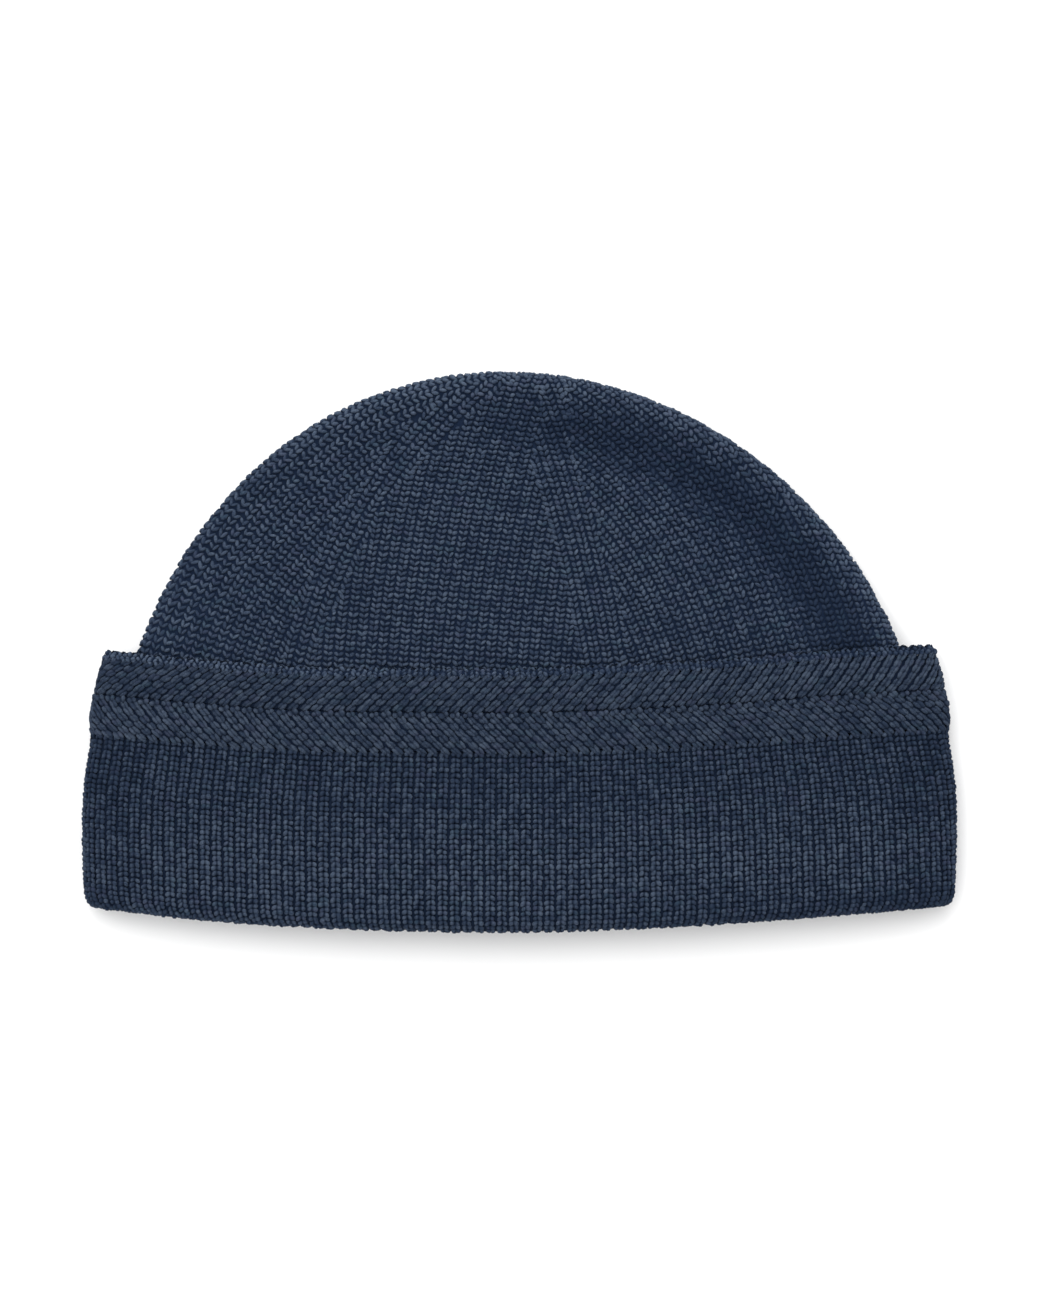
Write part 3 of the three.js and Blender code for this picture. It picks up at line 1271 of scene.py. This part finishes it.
def read_corners(mesh: bpy.types.Mesh) -> Array:
    """Reads the place of every corner of every face.

    Args:
        mesh: The mesh to read.

    Returns:
        Places, one a row.
    """
    points = np.empty(len(mesh.vertices) * 3, np.float32)
    mesh.vertices.foreach_get("co", points)
    corner = np.empty(len(mesh.loops), np.int32)
    mesh.loops.foreach_get("vertex_index", corner)
    return points.reshape(-1, 3)[corner]


def write_map(mesh: bpy.types.Mesh, flat: Array) -> None:
    """Writes the map that is used for baking.

    Args:
        mesh: The mesh that gets the map.
        flat: Places on the map, one a row for each corner.
    """
    if MAP_NAME not in mesh.uv_layers:
        mesh.uv_layers.new(name=MAP_NAME)
    mesh.uv_layers[MAP_NAME].uv.foreach_set("vector", flat.astype(np.float32).ravel())


def plan_map(mesh: bpy.types.Mesh, form: HatForm, side: Side) -> None:
    """Gives a mesh of stitches a flat map, looked at from above or below.

    Args:
        mesh: The stitches.
        form: Form of the hat, which sets the map's scale.
        side: The face that they lie on.
    """
    flat = read_corners(mesh)[:, :2] / (form.width * PLAN_SPAN) * (1, side.value) + 0.5
    write_map(mesh, flat)


def ring_maps(cloth: bpy.types.Mesh, stitches: Sequence[bpy.types.Mesh], form: HatForm) -> None:
    """Gives a ring's cloth the map's lower half, its front and its back a quarter each.

    Args:
        cloth: The ring's cloth, with a map over the whole area.
        stitches: Its meshes of stitches.
        form: Form of the hat, which sets the map's scale.
    """
    flat = np.empty(len(cloth.loops) * 2, np.float32)
    cloth.uv_layers[MAP_NAME].uv.foreach_get("vector", flat)
    write_map(cloth, flat.reshape(-1, 2) * CLOTH_MAP + MAP_MARGIN)
    levels = np.concatenate([read_corners(mesh)[:, 1] for mesh in stitches])
    low, high = levels.min(), levels.max()
    for mesh in stitches:
        corners = read_corners(mesh)
        sizes = np.empty(len(mesh.polygons), np.int32)
        mesh.polygons.foreach_get("loop_total", sizes)
        starts = np.concatenate([[0], np.cumsum(sizes)[:-1]])
        heights = np.add.reduceat(corners[:, 2], starts) / sizes
        behind = np.repeat(heights < form.middle_z, sizes)
        across = corners[:, 0] / (form.width * RING_SPAN) + 0.5
        level = (corners[:, 1] - low) / (high - low) * BAND_MAP
        level += np.where(behind, BACK_MAP, FRONT_MAP)
        write_map(mesh, np.stack([across, level], 1))


@dataclass
class KnitPart:
    """A knitted part of the hat: its form, and the finishes of its stitches and its cloth."""

    form: HatForm
    finish: WoolFinish
    # ground is the cloth's finish, which shows the root colour all over as painted shade
    ground: WoolFinish


# Crown


@dataclass
class Crown(KnitPart):
    """The domed body: its cloth and the stitches of its gores."""

    look: StitchLook = StitchLook(
        wale=0.00286,
        course=0.00147,
        height=0.00085,
        tilt=0.2,
        leg_width=0.42,
        leg_length=1.28,
        unevenness=1.5,
        follows=True,
    )
    back_sides: int = 6
    round_steps: int = 190
    along_steps: int = 150
    outer_share: float = 0.66
    seam_up: float = 0.144
    sink: float = 0.0006
    front_top: float = 0.0105
    back_top: float = 0.0048
    lap: float = 0.0003
    hidden: float = 0.0035
    droop_rounds: int = 4
    trough: float = 0.0016
    trough_in: float = 0.0155
    trough_reach: float = 0.0065
    # Painted shade in a band inside the rim, painted light on the rim at the top and painted shade at
    # the sides; whole_tone darkens the whole crown a little
    shade_in: float = 0.0125
    shade_reach: float = 0.008
    rim_reach: float = 0.006
    whole_tone: float = -0.12
    trough_painted_shade: float = -1.15
    left_painted_shade: float = -0.12
    right_painted_shade: float = -0.15
    rim_painted_light: float = 0.6
    band_turns: tuple[float, ...] = (8.0, 26.0, 70.0, 108.0)
    rim_turns: tuple[float, ...] = (10.0, 30.0, 105.0, 135.0)
    left_reach: Pair = (-0.02, -0.07)
    left_from_middle: Pair = (0.022, 0.045)
    right_reach: Pair = (0.02, 0.06)
    unrolled_depth: float = 0.12
    unrolled_steps: int = 3000

    def build(self, maker: StitchMaker) -> list[bpy.types.Object]:
        """Builds the cloth and both faces' stitches.

        Args:
            maker: Makes the legs of the stitches.

        Returns:
            The finished pieces.
        """
        ground, finish = self.ground.make(), self.finish.make()
        cloth = Cloth("crown", self.round_steps, self.along_steps).bend(self._cloth_law)
        body = Piece.add("crown", [cloth], [ground])
        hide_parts("crown")
        pieces = [body]
        for side in Side:
            sides = self.look.sides if side is Side.FRONT else self.back_sides
            meshes = [maker.make(self._gore(gore, side), sides) for gore in GORES]
            for mesh in meshes:
                plan_map(mesh, self.form, side)
            name = f"crown_{side.name.lower()}_stitches"
            pieces.append(Piece.add(name, meshes, [finish] * len(meshes)))
        return pieces

    def _cloth_law(self, turn: Array, along: Array) -> Array:
        """Bends the cloth: up the outer side to the tip, over it, and back down inside.

        Args:
            turn: Share of the way round.
            along: Share of the way up outside and down inside.

        Returns:
            Points, one a row.
        """
        form = self.form
        outer = along <= self.outer_share
        seam_y = form.fold_y + self.seam_up * form.cuff_height
        top_y = form.crown_centre_y + form.crown_rise
        share = np.where(outer, along / self.outer_share, (1 - along) / (1 - self.outer_share))
        eased = np.sin(share * math.pi / 2)
        y_outer = seam_y + (top_y - self.sink - seam_y) * eased
        y_inner = seam_y + (top_y - form.crown_wall - seam_y) * eased
        angle = 2 * math.pi * turn
        front = np.sin(angle) >= 0
        skin = form.crown_point(np.cos(angle), y_outer, front, self.sink)
        inside = form.crown_point(np.cos(angle), y_inner, front, form.crown_wall)
        closing = along >= 1 - 1e-6
        points = np.where((outer | closing)[:, None], skin, inside)
        points[:, 2] -= np.where(front, self._trough_at(points[:, 0], points[:, 1]), 0.0)
        return points

    def _on_plan(self, x: Array, y: Array, side: Side) -> Array:
        """Lays points of the unrolled crown onto its surface, rolling its rim over.

        Args:
            x: Sideways places on the unrolled crown.
            y: Levels on it.
            side: The face that they lie on.

        Returns:
            Points, one a row; those past the rim are no numbers.
        """
        form = self.form
        top = self.front_top if side is Side.FRONT else self.back_top
        depth = np.linspace(0.0, self.unrolled_depth, self.unrolled_steps)
        lift = form.dome_lift(depth, form.rim_radius, np.full_like(depth, top))
        covered = np.concatenate([[0.0], np.cumsum(np.hypot(np.diff(depth), np.diff(lift)))])
        spare = covered[-1] - depth[-1]
        drift = form.drift_at(y)
        level = np.maximum(y - form.crown_centre_y, 0.0)
        outwards = np.hypot((x - drift) / form.crown_half_width, level / form.crown_rise)
        inside = (1 - outwards) * form.crown_half_width + spare
        from_rim = np.interp(inside, covered, depth)
        pull = (1 - from_rim / form.crown_half_width) / np.maximum(outwards, 1e-6)
        plan_x = (x - drift) * pull
        plan_y = np.where(y > form.crown_centre_y, form.crown_centre_y + level * pull, y)
        across = plan_x / np.maximum(form.crown_half_width_at(plan_y, 0.0), 1e-6)
        front = np.full(across.shape, side is Side.FRONT)
        point = form.crown_point(np.clip(across, -1, 1), plan_y, front, 0.0)
        if side is Side.FRONT:
            point[:, 2] -= self._trough_at(point[:, 0], point[:, 1])
        point[inside < 0] = np.nan
        return point

    def _grain(self, gore: Gore, wale: Array, course: Array) -> tuple[Array, Array]:
        """Finds where wales and courses of a gore cross on the unrolled crown.

        Courses that droop past the gore's middle line are found in a few rounds.

        Args:
            gore: The gore.
            wale: Wale numbers.
            course: Course numbers.

        Returns:
            Sideways places and levels.
        """
        start = math.atan2(gore.through_y - gore.course_y, gore.through_x - gore.course_x)
        radius = gore.first_radius + (wale + 0.5) * gore.wale
        angle = start + (course - gore.courses_before) * gore.turn
        away_x, away_y = gore.course_x - gore.wale_x, gore.course_y - gore.wale_y
        drop = np.zeros_like(radius)
        for _ in range(self.droop_rounds):
            low = away_y - drop
            towards = np.cos(angle) * away_x + np.sin(angle) * low
            reach = -towards + np.sqrt(towards**2 - away_x**2 - low**2 + radius**2)
            x = gore.course_x + reach * np.cos(angle)
            y = gore.course_y - drop + reach * np.sin(angle)
            past = np.maximum(x - gore.through_x, 0.0)
            drop = np.maximum(gore.bend + gore.bend_growth * y, 0.0) / 2 * past**2
        return x, y

    def _in_gore(self, gore: Gore, point: Array) -> Array:
        """Chooses the points between a gore's decrease lines and above the cuff.

        Args:
            gore: The gore.
            point: Points, one a row.

        Returns:
            Whether each point is in the gore.
        """
        form = self.form
        x, y = point[:, 0], point[:, 1]
        across = np.clip(x / (form.width / 2), -1, 1)
        inside = y > form.cuff_top_y + form.cuff_sag_at(across, np.ones(len(point))) - self.hidden
        if gore.start_line:
            inside &= x >= read_rows(MITRES, "y", gore.start_line, y) - self.lap
        if gore.end_line:
            inside &= x < read_rows(MITRES, "y", gore.end_line, y) + self.lap
        return inside

    def _gore(self, gore: Gore, side: Side) -> bpy.types.Object:
        """Lays one gore's stitches on one face.

        Args:
            gore: The gore.
            side: The face.

        Returns:
            Points with the stance of each leg.
        """

        def place(wale: Array, course: Array) -> Array:
            """Puts wale and course numbers on the face."""
            return self._on_plan(*self._grain(gore, wale, course), side)

        def keep(point: Array) -> Array:
            """Keeps what is in the gore."""
            return self._in_gore(gore, point)

        look = replace(self.look, wale=gore.wale, slant=gore.slant, spread=gore.spread)
        layer = StitchLayer(f"{gore.name}_gore", look, len(gore.name) + 5 * gore.wales)
        hand = 1.0 if gore.course_x < gore.through_x else -1.0
        # Painted light and shade on the front face only
        tone = self._tone if side is Side.FRONT else None
        return layer.lay(gore.wales, gore.courses, place, hand * side.value, tone, keep)

    def _from_rim(self, x: Array, y: Array) -> tuple[Array, Array]:
        """Measures the way in from the crown's outline.

        Args:
            x: Sideways places.
            y: Levels.

        Returns:
            The distances from the outline, and the angles round it in degrees.
        """
        form = self.form
        level = np.maximum(y - form.crown_centre_y, 0.0) / form.crown_rise
        aside = (x - form.drift_at(y)) / form.crown_half_width
        from_rim = (1 - np.hypot(aside, level)) * form.crown_half_width
        turn = np.degrees(np.arctan2(level * form.crown_rise, aside * form.crown_half_width))
        return from_rim, turn

    def _band_at(self, x: Array, y: Array, inside: float, reach: float) -> Array:
        """Share of a band that runs inside the rim, from the tip to the right.

        Args:
            x: Sideways places.
            y: Levels.
            inside: How far inside the rim the band's middle runs.
            reach: How far the band reaches to either side.

        Returns:
            1 at the band's middle, falling to 0.
        """
        from_rim, turn = self._from_rim(x, y)
        return hump(self.band_turns, turn) * np.exp(-(((from_rim - inside) / reach) ** 2))

    def _trough_at(self, x: Array, y: Array) -> Array:
        """Depth of the trough inside the rim."""
        return self.trough * self._band_at(x, y, self.trough_in, self.trough_reach)

    def _tone(self, point: Array) -> Array:
        """Paints shade on the trough's slope and at the sides, and paints light on the rim at the top.

        Args:
            point: Points of the legs.

        Returns:
            The shift of each leg.
        """
        x, y = point[:, 0], point[:, 1]
        band = self._band_at(x, y, self.shade_in, self.shade_reach)
        from_middle = smooth_share(*self.left_from_middle, np.hypot(x, y))
        left = smooth_share(*self.left_reach, x) * from_middle
        right = smooth_share(*self.right_reach, x)
        from_rim, turn = self._from_rim(x, y)
        rim = np.exp(-((from_rim / self.rim_reach) ** 2)) * hump(self.rim_turns, turn)
        shift = self.whole_tone + self.trough_painted_shade * band + self.rim_painted_light * rim
        return shift + self.left_painted_shade * left + self.right_painted_shade * right


# Cuff


@dataclass
class RibBand(KnitPart):
    """The ribbed part of the cuff with its fold."""

    look: StitchLook = StitchLook(
        wale=0.00305,
        course=0.0013,
        height=0.001,
        tilt=0.6,
        spread=0.165,
        leg_width=0.45,
        leg_length=1.4,
        slant=-0.65,
        unevenness=1.5,
    )
    back_sides: int = 5
    ribs: int = 154
    along_steps: int = 84
    skin_share: float = 0.72
    crest_sink: float = 0.0006
    groove: float = 0.00115
    fold_from: float = 0.75
    dip: float = 0.0008
    dip_ups: Pair = (0.45, 0.66)
    # Painted shade at the sides of the cuff and at the right of its foot
    side_painted_shade: float = -0.4
    foot_painted_shade: float = -0.45
    side_reach: Pair = (0.78, 0.93)
    foot_reach: Pair = (0.15, 0.5)
    foot_ups: Pair = (0.02, 0.2)

    def build(self, maker: StitchMaker) -> list[bpy.types.Object]:
        """Builds the cloth and both faces' stitches.

        Args:
            maker: Makes the legs of the stitches.

        Returns:
            The finished pieces.
        """
        ground, finish = self.ground.make(), self.finish.make()
        cloth = Cloth("cuff_rib_band", 2 * self.ribs, self.along_steps).bend(self._cloth_law)
        body = Piece.add("cuff_rib_band", [cloth], [ground])
        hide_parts("cuff_rib_band")
        pieces = [body]
        for side in Side:
            sides = self.look.sides if side is Side.FRONT else self.back_sides
            mesh = maker.make(self._stitches(side), sides)
            plan_map(mesh, self.form, side)
            pieces.append(Piece.add(f"rib_{side.name.lower()}_stitches", [mesh], [finish]))
        return pieces

    def _profile(self) -> list[SectionStop]:
        """Measures the way down the outer side and round the fold.

        Returns:
            The stops of the profile, each at its length from the top.
        """
        form = self.form
        up = np.array([row.up for row in RIB_PROFILE])
        out = np.array([row.out for row in RIB_PROFILE]) * form.outer_face_out
        puff = np.array([row.puff for row in RIB_PROFILE]) * form.fold_puff
        steps = np.hypot(np.diff(up) * form.cuff_height, np.diff(out + puff))
        lengths = np.concatenate([[0.0], np.cumsum(steps)])
        return [SectionStop(*stop) for stop in zip(lengths, up, out, puff)]

    def _on_profile(self, share: Array, length: Array, drop: Array) -> Array:
        """Lays points along the profile.

        Args:
            share: Share of the way round.
            length: Lengths from the top.
            drop: How far the points lie below the skin.

        Returns:
            Points, one a row.
        """
        form, stops = self.form, self._profile()
        up = read_rows(stops, "at", "up", length)
        out = read_rows(stops, "at", "out", length)
        puff = read_rows(stops, "at", "puff", length)
        turning = np.maximum(1 - np.abs(2 * out / form.outer_face_out - 1), 0.0)
        up = up + np.maximum(drop, 0.0) / form.cuff_height * turning
        out = out - drop - self.dip * smooth_share(*self.dip_ups, up)
        return form.cuff_point(share + form.lean_at(share, up), up, out, puff)

    def _cloth_law(self, turn: Array, along: Array) -> Array:
        """Bends the cloth: down the outer side, round the fold and back up inside.

        Args:
            turn: Share of the way round.
            along: Share of the way along the section.

        Returns:
            Points, one a row.
        """
        form = self.form
        total = self._profile()[-1].at
        length = np.clip(along / self.skin_share, 0, 1) * total
        valley = np.rint(turn * 2 * self.ribs).astype(int) % 2 == 1
        drop = np.where(valley, self.groove, self.crest_sink)
        folded = smooth_share(self.fold_from * total, total, length)
        outer = self._on_profile(turn, length, drop * (1 - 2 * folded))
        first = self._on_profile(turn, np.zeros_like(turn), drop)
        top = RIB_PROFILE[0].up
        stops = (
            SectionStop(0.0, 0.14, form.crown_wall),
            SectionStop(0.3, 0.06, form.crown_wall),
            SectionStop(0.4, 0.06, form.inner_face_out),
            SectionStop(0.6, 0.16, form.inner_face_out, form.fold_puff * 0.8),
            SectionStop(0.97, top, form.inner_face_out),
            SectionStop(1.0, top, form.outer_face_out - self.crest_sink, form.fold_puff * 0.1),
        )
        back = np.clip((along - self.skin_share) / (1 - self.skin_share), 0, 1)
        up, out, puff = (read_straight(stops, column, back) for column in ("up", "out", "puff"))
        inner = form.cuff_point(turn, up, out, puff)
        closing = (along >= 1 - 1e-6)[:, None]
        return np.where(closing, first, np.where((along <= self.skin_share)[:, None], outer, inner))

    def _stitches(self, side: Side) -> bpy.types.Object:
        """Lays one face's stitches.

        Args:
            side: The face.

        Returns:
            Points with the stance of each leg.
        """
        total = self._profile()[-1].at
        courses = int(total / self.look.course)
        half = self.ribs // 2
        first = 0 if side is Side.FRONT else half

        def place(wale: Array, course: Array) -> Array:
            """Puts wale and course numbers on the face."""
            length = total - (course + 0.5) * total / courses
            return self._on_profile((first + 0.5 + wale) / self.ribs, length, np.zeros_like(wale))

        layer = StitchLayer("rib_stitches", self.look, 41 + first)
        return layer.lay(half, courses, place, -1.0, self._tone)

    def _tone(self, point: Array) -> Array:
        """Paints light and shade onto the stitches by level, and paints shade at the sides and at the
        right of the foot.

        Args:
            point: Points of the legs.

        Returns:
            The shift of each leg.
        """
        form = self.form
        across = np.clip(point[:, 0] / (form.width / 2), -1, 1)
        level = point[:, 1] - form.cuff_sag_at(across, np.zeros(len(point)))
        up = (level - form.fold_y) / form.cuff_height
        aside = smooth_share(*self.side_reach, np.abs(across))
        foot = smooth_share(*self.foot_reach, across) * (1 - smooth_share(*self.foot_ups, up))
        return read_rows(RIB_PAINTED_LIGHT, "up", "shift", up) + self.side_painted_shade * aside + self.foot_painted_shade * foot


@dataclass
class StrandRow(KnitPart):
    """One row of slanting strands of the herringbone border."""

    name: str
    from_up: float
    to_up: float
    start_slide: float
    end_slide: float
    first_rise: float
    rise_step: float
    twist: float
    tones: Pair
    head_rise: float | None = None
    look: StitchLook = StitchLook(
        wale=0.00305,
        course=0.0022,
        height=0.00105,
        tilt=0.5,
        spread=0.11,
        leg_width=0.42,
        leg_length=1.5,
        sink=0.0007,
        slant=0.05,
        unevenness=1.4,
    )
    strands: int = 154
    courses: int = 6
    along_steps: int = 16
    skin_share: float = 0.7
    bulge: float = 0.0006
    bed: float = 0.0003
    crest_sink: float = 0.0007
    groove: float = 0.0012

    def build(self, maker: StitchMaker) -> list[bpy.types.Object]:
        """Builds the row as one piece.

        Args:
            maker: Makes the legs of the stitches.

        Returns:
            The finished piece.
        """
        ground, finish = self.ground.make(), self.finish.make()
        cloth = Cloth(self.name, 2 * self.strands, self.along_steps).bend(self._cloth_law)
        laid = [self._stitches()]
        if self.head_rise is not None:
            laid.append(self._heads(self.head_rise))
        meshes = [maker.make(points, self.look.sides - 2) for points in laid]
        ring_maps(cloth, meshes, self.form)
        body = Piece.add(self.name, [cloth, *meshes], [ground] + [finish] * len(meshes))
        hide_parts(self.name)
        return [body]

    def _point(self, share: Array, rise: Array, drop: Array) -> Array:
        """Lays points on the row.

        Args:
            share: Share of the way round.
            rise: Share of the row's height.
            drop: How far the points lie below the skin.

        Returns:
            Points, one a row.
        """
        form = self.form
        up = self.from_up + (self.to_up - self.from_up) * rise
        slide = self.start_slide + (self.end_slide - self.start_slide) * rise
        moved = share + slide / form.round_length() + form.lean_at(share, up)
        swell = self.bulge * (1 - (2 * rise - 1) ** 2) - self.bed
        return form.cuff_point(moved, up, form.outer_face_out + swell - drop, np.zeros_like(up))

    def _cloth_law(self, turn: Array, along: Array) -> Array:
        """Bends the cloth: up the outer side of the row and back down inside.

        Args:
            turn: Share of the way round.
            along: Share of the way along the section.

        Returns:
            Points, one a row.
        """
        form = self.form
        valley = np.rint(turn * 2 * self.strands).astype(int) % 2 == 1
        drop = np.where(valley, self.groove, self.crest_sink)
        outer = self._point(turn, np.clip(along / self.skin_share, 0, 1), drop)
        first = self._point(turn, np.zeros_like(turn), drop)
        back = np.clip((along - self.skin_share) / (1 - self.skin_share), 0, 1)
        rise = 1 - np.clip((back - 0.25) / 0.5, 0, 1)
        up = self.from_up + (self.to_up - self.from_up) * rise
        flat = form.cuff_point(turn, up, np.full_like(up, form.inner_face_out), np.zeros_like(up))
        closing = (along >= 1 - 1e-6)[:, None]
        return np.where(closing, first, np.where((along <= self.skin_share)[:, None], outer, flat))

    def _on_row(self, wale: Array, rise: Array) -> Array:
        """Puts wale numbers on the skin at shares of the row's height."""
        return self._point((wale + 0.5) / self.strands, rise, np.zeros_like(wale))

    def _stitches(self) -> bpy.types.Object:
        """Lays the strands.

        Returns:
            Points with the stance of each leg.
        """

        def place(wale: Array, course: Array) -> Array:
            """Puts wale and course numbers on the row."""
            return self._on_row(wale, self.first_rise + course * self.rise_step)

        look = replace(self.look, twist=self.twist)
        layer = StitchLayer("strand_stitches", look, 71)
        return layer.lay(self.strands, self.courses, place, -1.0, self._tone)

    def _heads(self, rise: float) -> bpy.types.Object:
        """Lays the round loops that begin the strands of the row above.

        The layer's second course has no place, because a layer has two courses at least.

        Args:
            rise: Share of the row's height at which the loops lie.

        Returns:
            Points with the stance of each leg.
        """

        def place(wale: Array, course: Array) -> Array:
            """Puts wale numbers on the one course of loops."""
            return self._on_row(wale, np.where(course < 1, rise + 0.1 * course, np.nan))

        look = replace(
            self.look, spread=0.12, leg_width=0.5, leg_length=0.95, height=0.0015, slant=0.15
        )
        layer = StitchLayer("strand_heads", look, 73)
        return layer.lay(self.strands, 2, place, -1.0, self._tone)

    def _tone(self, point: Array) -> Array:
        """Shades the legs from the left side to the right."""
        return tone_across(point, self.form, self.tones)


@dataclass
class CastOffEdge(KnitPart):
    """The finished edge along the top of the cuff."""

    look: StitchLook = StitchLook(
        wale=0.0030,
        course=0.0012,
        height=0.0011,
        tilt=0.3,
        spread=0.22,
        leg_width=0.35,
        leg_length=1.4,
        slant=0.6,
        unevenness=2.2,
    )
    loops: int = 154
    courses: int = 4
    along_steps: int = 12
    from_up: float = 0.9704
    first_along: float = 0.06
    along_step: float = 0.17
    stand: float = 0.0005
    tones: Pair = (0.2, -0.66)

    def build(self, maker: StitchMaker) -> list[bpy.types.Object]:
        """Builds the edge as one piece.

        Args:
            maker: Makes the legs of the stitches.

        Returns:
            The finished piece.
        """
        ground, finish = self.ground.make(), self.finish.make()
        cloth = Cloth("cast_off_edge", 2 * self.loops, self.along_steps).bend(self._cloth_law)
        mesh = maker.make(self._stitches(), self.look.sides - 2)
        ring_maps(cloth, [mesh], self.form)
        body = Piece.add("cast_off_edge", [cloth, mesh], [ground, finish])
        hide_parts("cast_off_edge")
        return [body]

    def _point(self, share: Array, along: Array, stand: float) -> Array:
        """Lays points round the edge's section.

        Args:
            share: Share of the way round.
            along: Share of the way along the section.
            stand: How far the points stand off the cloth.

        Returns:
            Points, one a row.
        """
        inner, outer = self.form.inner_face_out, self.form.outer_face_out
        stops = (
            SectionStop(0.0, self.from_up, outer - 0.001),
            SectionStop(0.2, self.from_up + 0.012, outer - 0.0005),
            SectionStop(0.42, 0.998, outer - 0.0013),
            SectionStop(0.55, 1.0, inner + 0.0007),
            SectionStop(0.75, self.from_up, inner),
            SectionStop(1.0, self.from_up, outer - 0.001),
        )
        up, out = read_straight(stops, "up", along), read_straight(stops, "out", along)
        return self.form.cuff_point(share, up, out + stand, np.zeros_like(up))

    def _cloth_law(self, turn: Array, along: Array) -> Array:
        """Bends the cloth round the edge's section."""
        return self._point(turn, along, 0.0)

    def _stitches(self) -> bpy.types.Object:
        """Lays the loops.

        Returns:
            Points with the stance of each leg.
        """

        def place(wale: Array, course: Array) -> Array:
            """Puts wale and course numbers on the edge."""
            along = self.first_along + self.along_step * course
            return self._point((wale + 0.5) / self.loops, along, self.stand)

        layer = StitchLayer("edge_loops", self.look, 97)
        return layer.lay(self.loops, self.courses, place, -1.0, self._tone)

    def _tone(self, point: Array) -> Array:
        """Shades the legs from the left side to the right."""
        return tone_across(point, self.form, self.tones)


# Studio


@dataclass(frozen=True)
class Panel:
    """A square light panel that faces the hat."""

    name: str
    place: Triple
    size: float
    power: float


@dataclass
class Studio:
    """White table, soft light from the head of the picture and the camera above."""

    panels: tuple[Panel, ...] = (
        Panel("key", (-0.35, 0.5, 2.1), 1.3, 26.0),
        Panel("head", (0.1, 2.0, 0.8), 1.0, 22.0),
    )
    floor_size: float = 6.0
    floor_shade: float = 0.95
    sky: float = 0.93
    camera_height: float = 1.9
    picture_height: float = 0.338
    look_at: Pair = (0.00013, 0.00026)
    aim_z: float = 0.0105

    def build(self) -> None:
        """Builds the floor, the lights and the camera."""
        self._floor()
        self._lights()
        self._camera()

    def _floor(self) -> None:
        """Lays the white floor."""
        shape = bmesh.new()
        bmesh.ops.create_grid(shape, x_segments=1, y_segments=1, size=self.floor_size / 2)
        mesh = bpy.data.meshes.new("floor")
        shape.to_mesh(mesh)
        shape.free()
        material = bpy.data.materials.new("floor_white")
        material.use_nodes = True
        shader = material.node_tree.nodes["Principled BSDF"]
        shader.inputs["Base Color"].default_value = (*[self.floor_shade] * 3, 1.0)
        shader.inputs["Roughness"].default_value = 0.9
        shader.inputs["Specular IOR Level"].default_value = 0.1
        mesh.materials.append(material)
        floor = bpy.data.objects.new("floor", mesh)
        bpy.context.scene.collection.objects.link(floor)

    def _lights(self) -> None:
        """Hangs the panels and lights the sky."""
        for panel in self.panels:
            lamp = bpy.data.lights.new(panel.name, "AREA")
            lamp.shape = "SQUARE"
            lamp.size = panel.size
            lamp.energy = panel.power
            light = bpy.data.objects.new(panel.name, lamp)
            light.location = panel.place
            aim = -Vector(panel.place)
            light.rotation_euler = aim.to_track_quat("-Z", "Y").to_euler()
            bpy.context.scene.collection.objects.link(light)
        world = bpy.data.worlds.new("studio")
        world.use_nodes = True
        back = world.node_tree.nodes["Background"]
        back.inputs["Color"].default_value = (1.0, 1.0, 1.0, 1.0)
        back.inputs["Strength"].default_value = self.sky
        bpy.context.scene.world = world

    def _camera(self) -> None:
        """Sets the camera straight above the hat, with plain view colours."""
        data = bpy.data.cameras.new("camera")
        data.sensor_width = 36.0
        data.lens = data.sensor_width * (self.camera_height - self.aim_z) / self.picture_height
        data.clip_end = 20.0
        camera = bpy.data.objects.new("camera", data)
        camera.location = (*self.look_at, self.camera_height)
        bpy.context.scene.collection.objects.link(camera)
        bpy.context.scene.camera = camera
        view = bpy.context.scene.view_settings
        view.view_transform = "Standard"
        view.look = "None"


def main() -> None:
    """Builds the hat on its frame and the studio round it."""
    logging.basicConfig(level=logging.INFO, format="%(name)s: %(message)s")
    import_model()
    form = HatForm()
    maker = StitchMaker()
    # The cloth's finishes have no crest, so they show the root colour all over: painted shade between
    # the stitches
    ground = WoolFinish("wool_ground")
    rib_painted_shade = (0.0042, 0.0086, 0.0205)
    parts = (
        Crown(form, WoolFinish("crown_wool"), ground),
        RibBand(
            form,
            WoolFinish("rib_wool", root=rib_painted_shade, shade=0.965),
            WoolFinish("rib_ground", root=rib_painted_shade),
        ),
        StrandRow(
            form,
            # shade 0.83 darkens the strands' wool: painted shade
            WoolFinish("strand_wool_lower", shade=0.83),
            ground,
            name="herringbone_lower_row",
            from_up=0.6884,
            to_up=0.8372,
            start_slide=0.0,
            end_slide=0.0102,
            first_rise=-0.01,
            rise_step=0.161,
            twist=0.1,
            tones=(0.0, -0.3),
            head_rise=0.92,
        ),
        StrandRow(
            form,
            # shade 0.82 darkens the strands' wool: painted shade
            WoolFinish("strand_wool_upper", shade=0.82),
            ground,
            name="herringbone_upper_row",
            from_up=0.8376,
            to_up=0.966,
            start_slide=0.0102,
            end_slide=0.0013,
            first_rise=0.08,
            rise_step=0.185,
            twist=-0.15,
            tones=(-0.4, 0.0),
        ),
        # shade 1.08 lightens the edge's wool: painted light on the cast-off edge
        CastOffEdge(form, WoolFinish("edge_wool", shade=1.08), ground),
    )
    for part in parts:
        for piece in part.build(maker):
            LOG.info("built %s", piece.name)
    Studio().build()


if __name__ == "__main__":
    main()
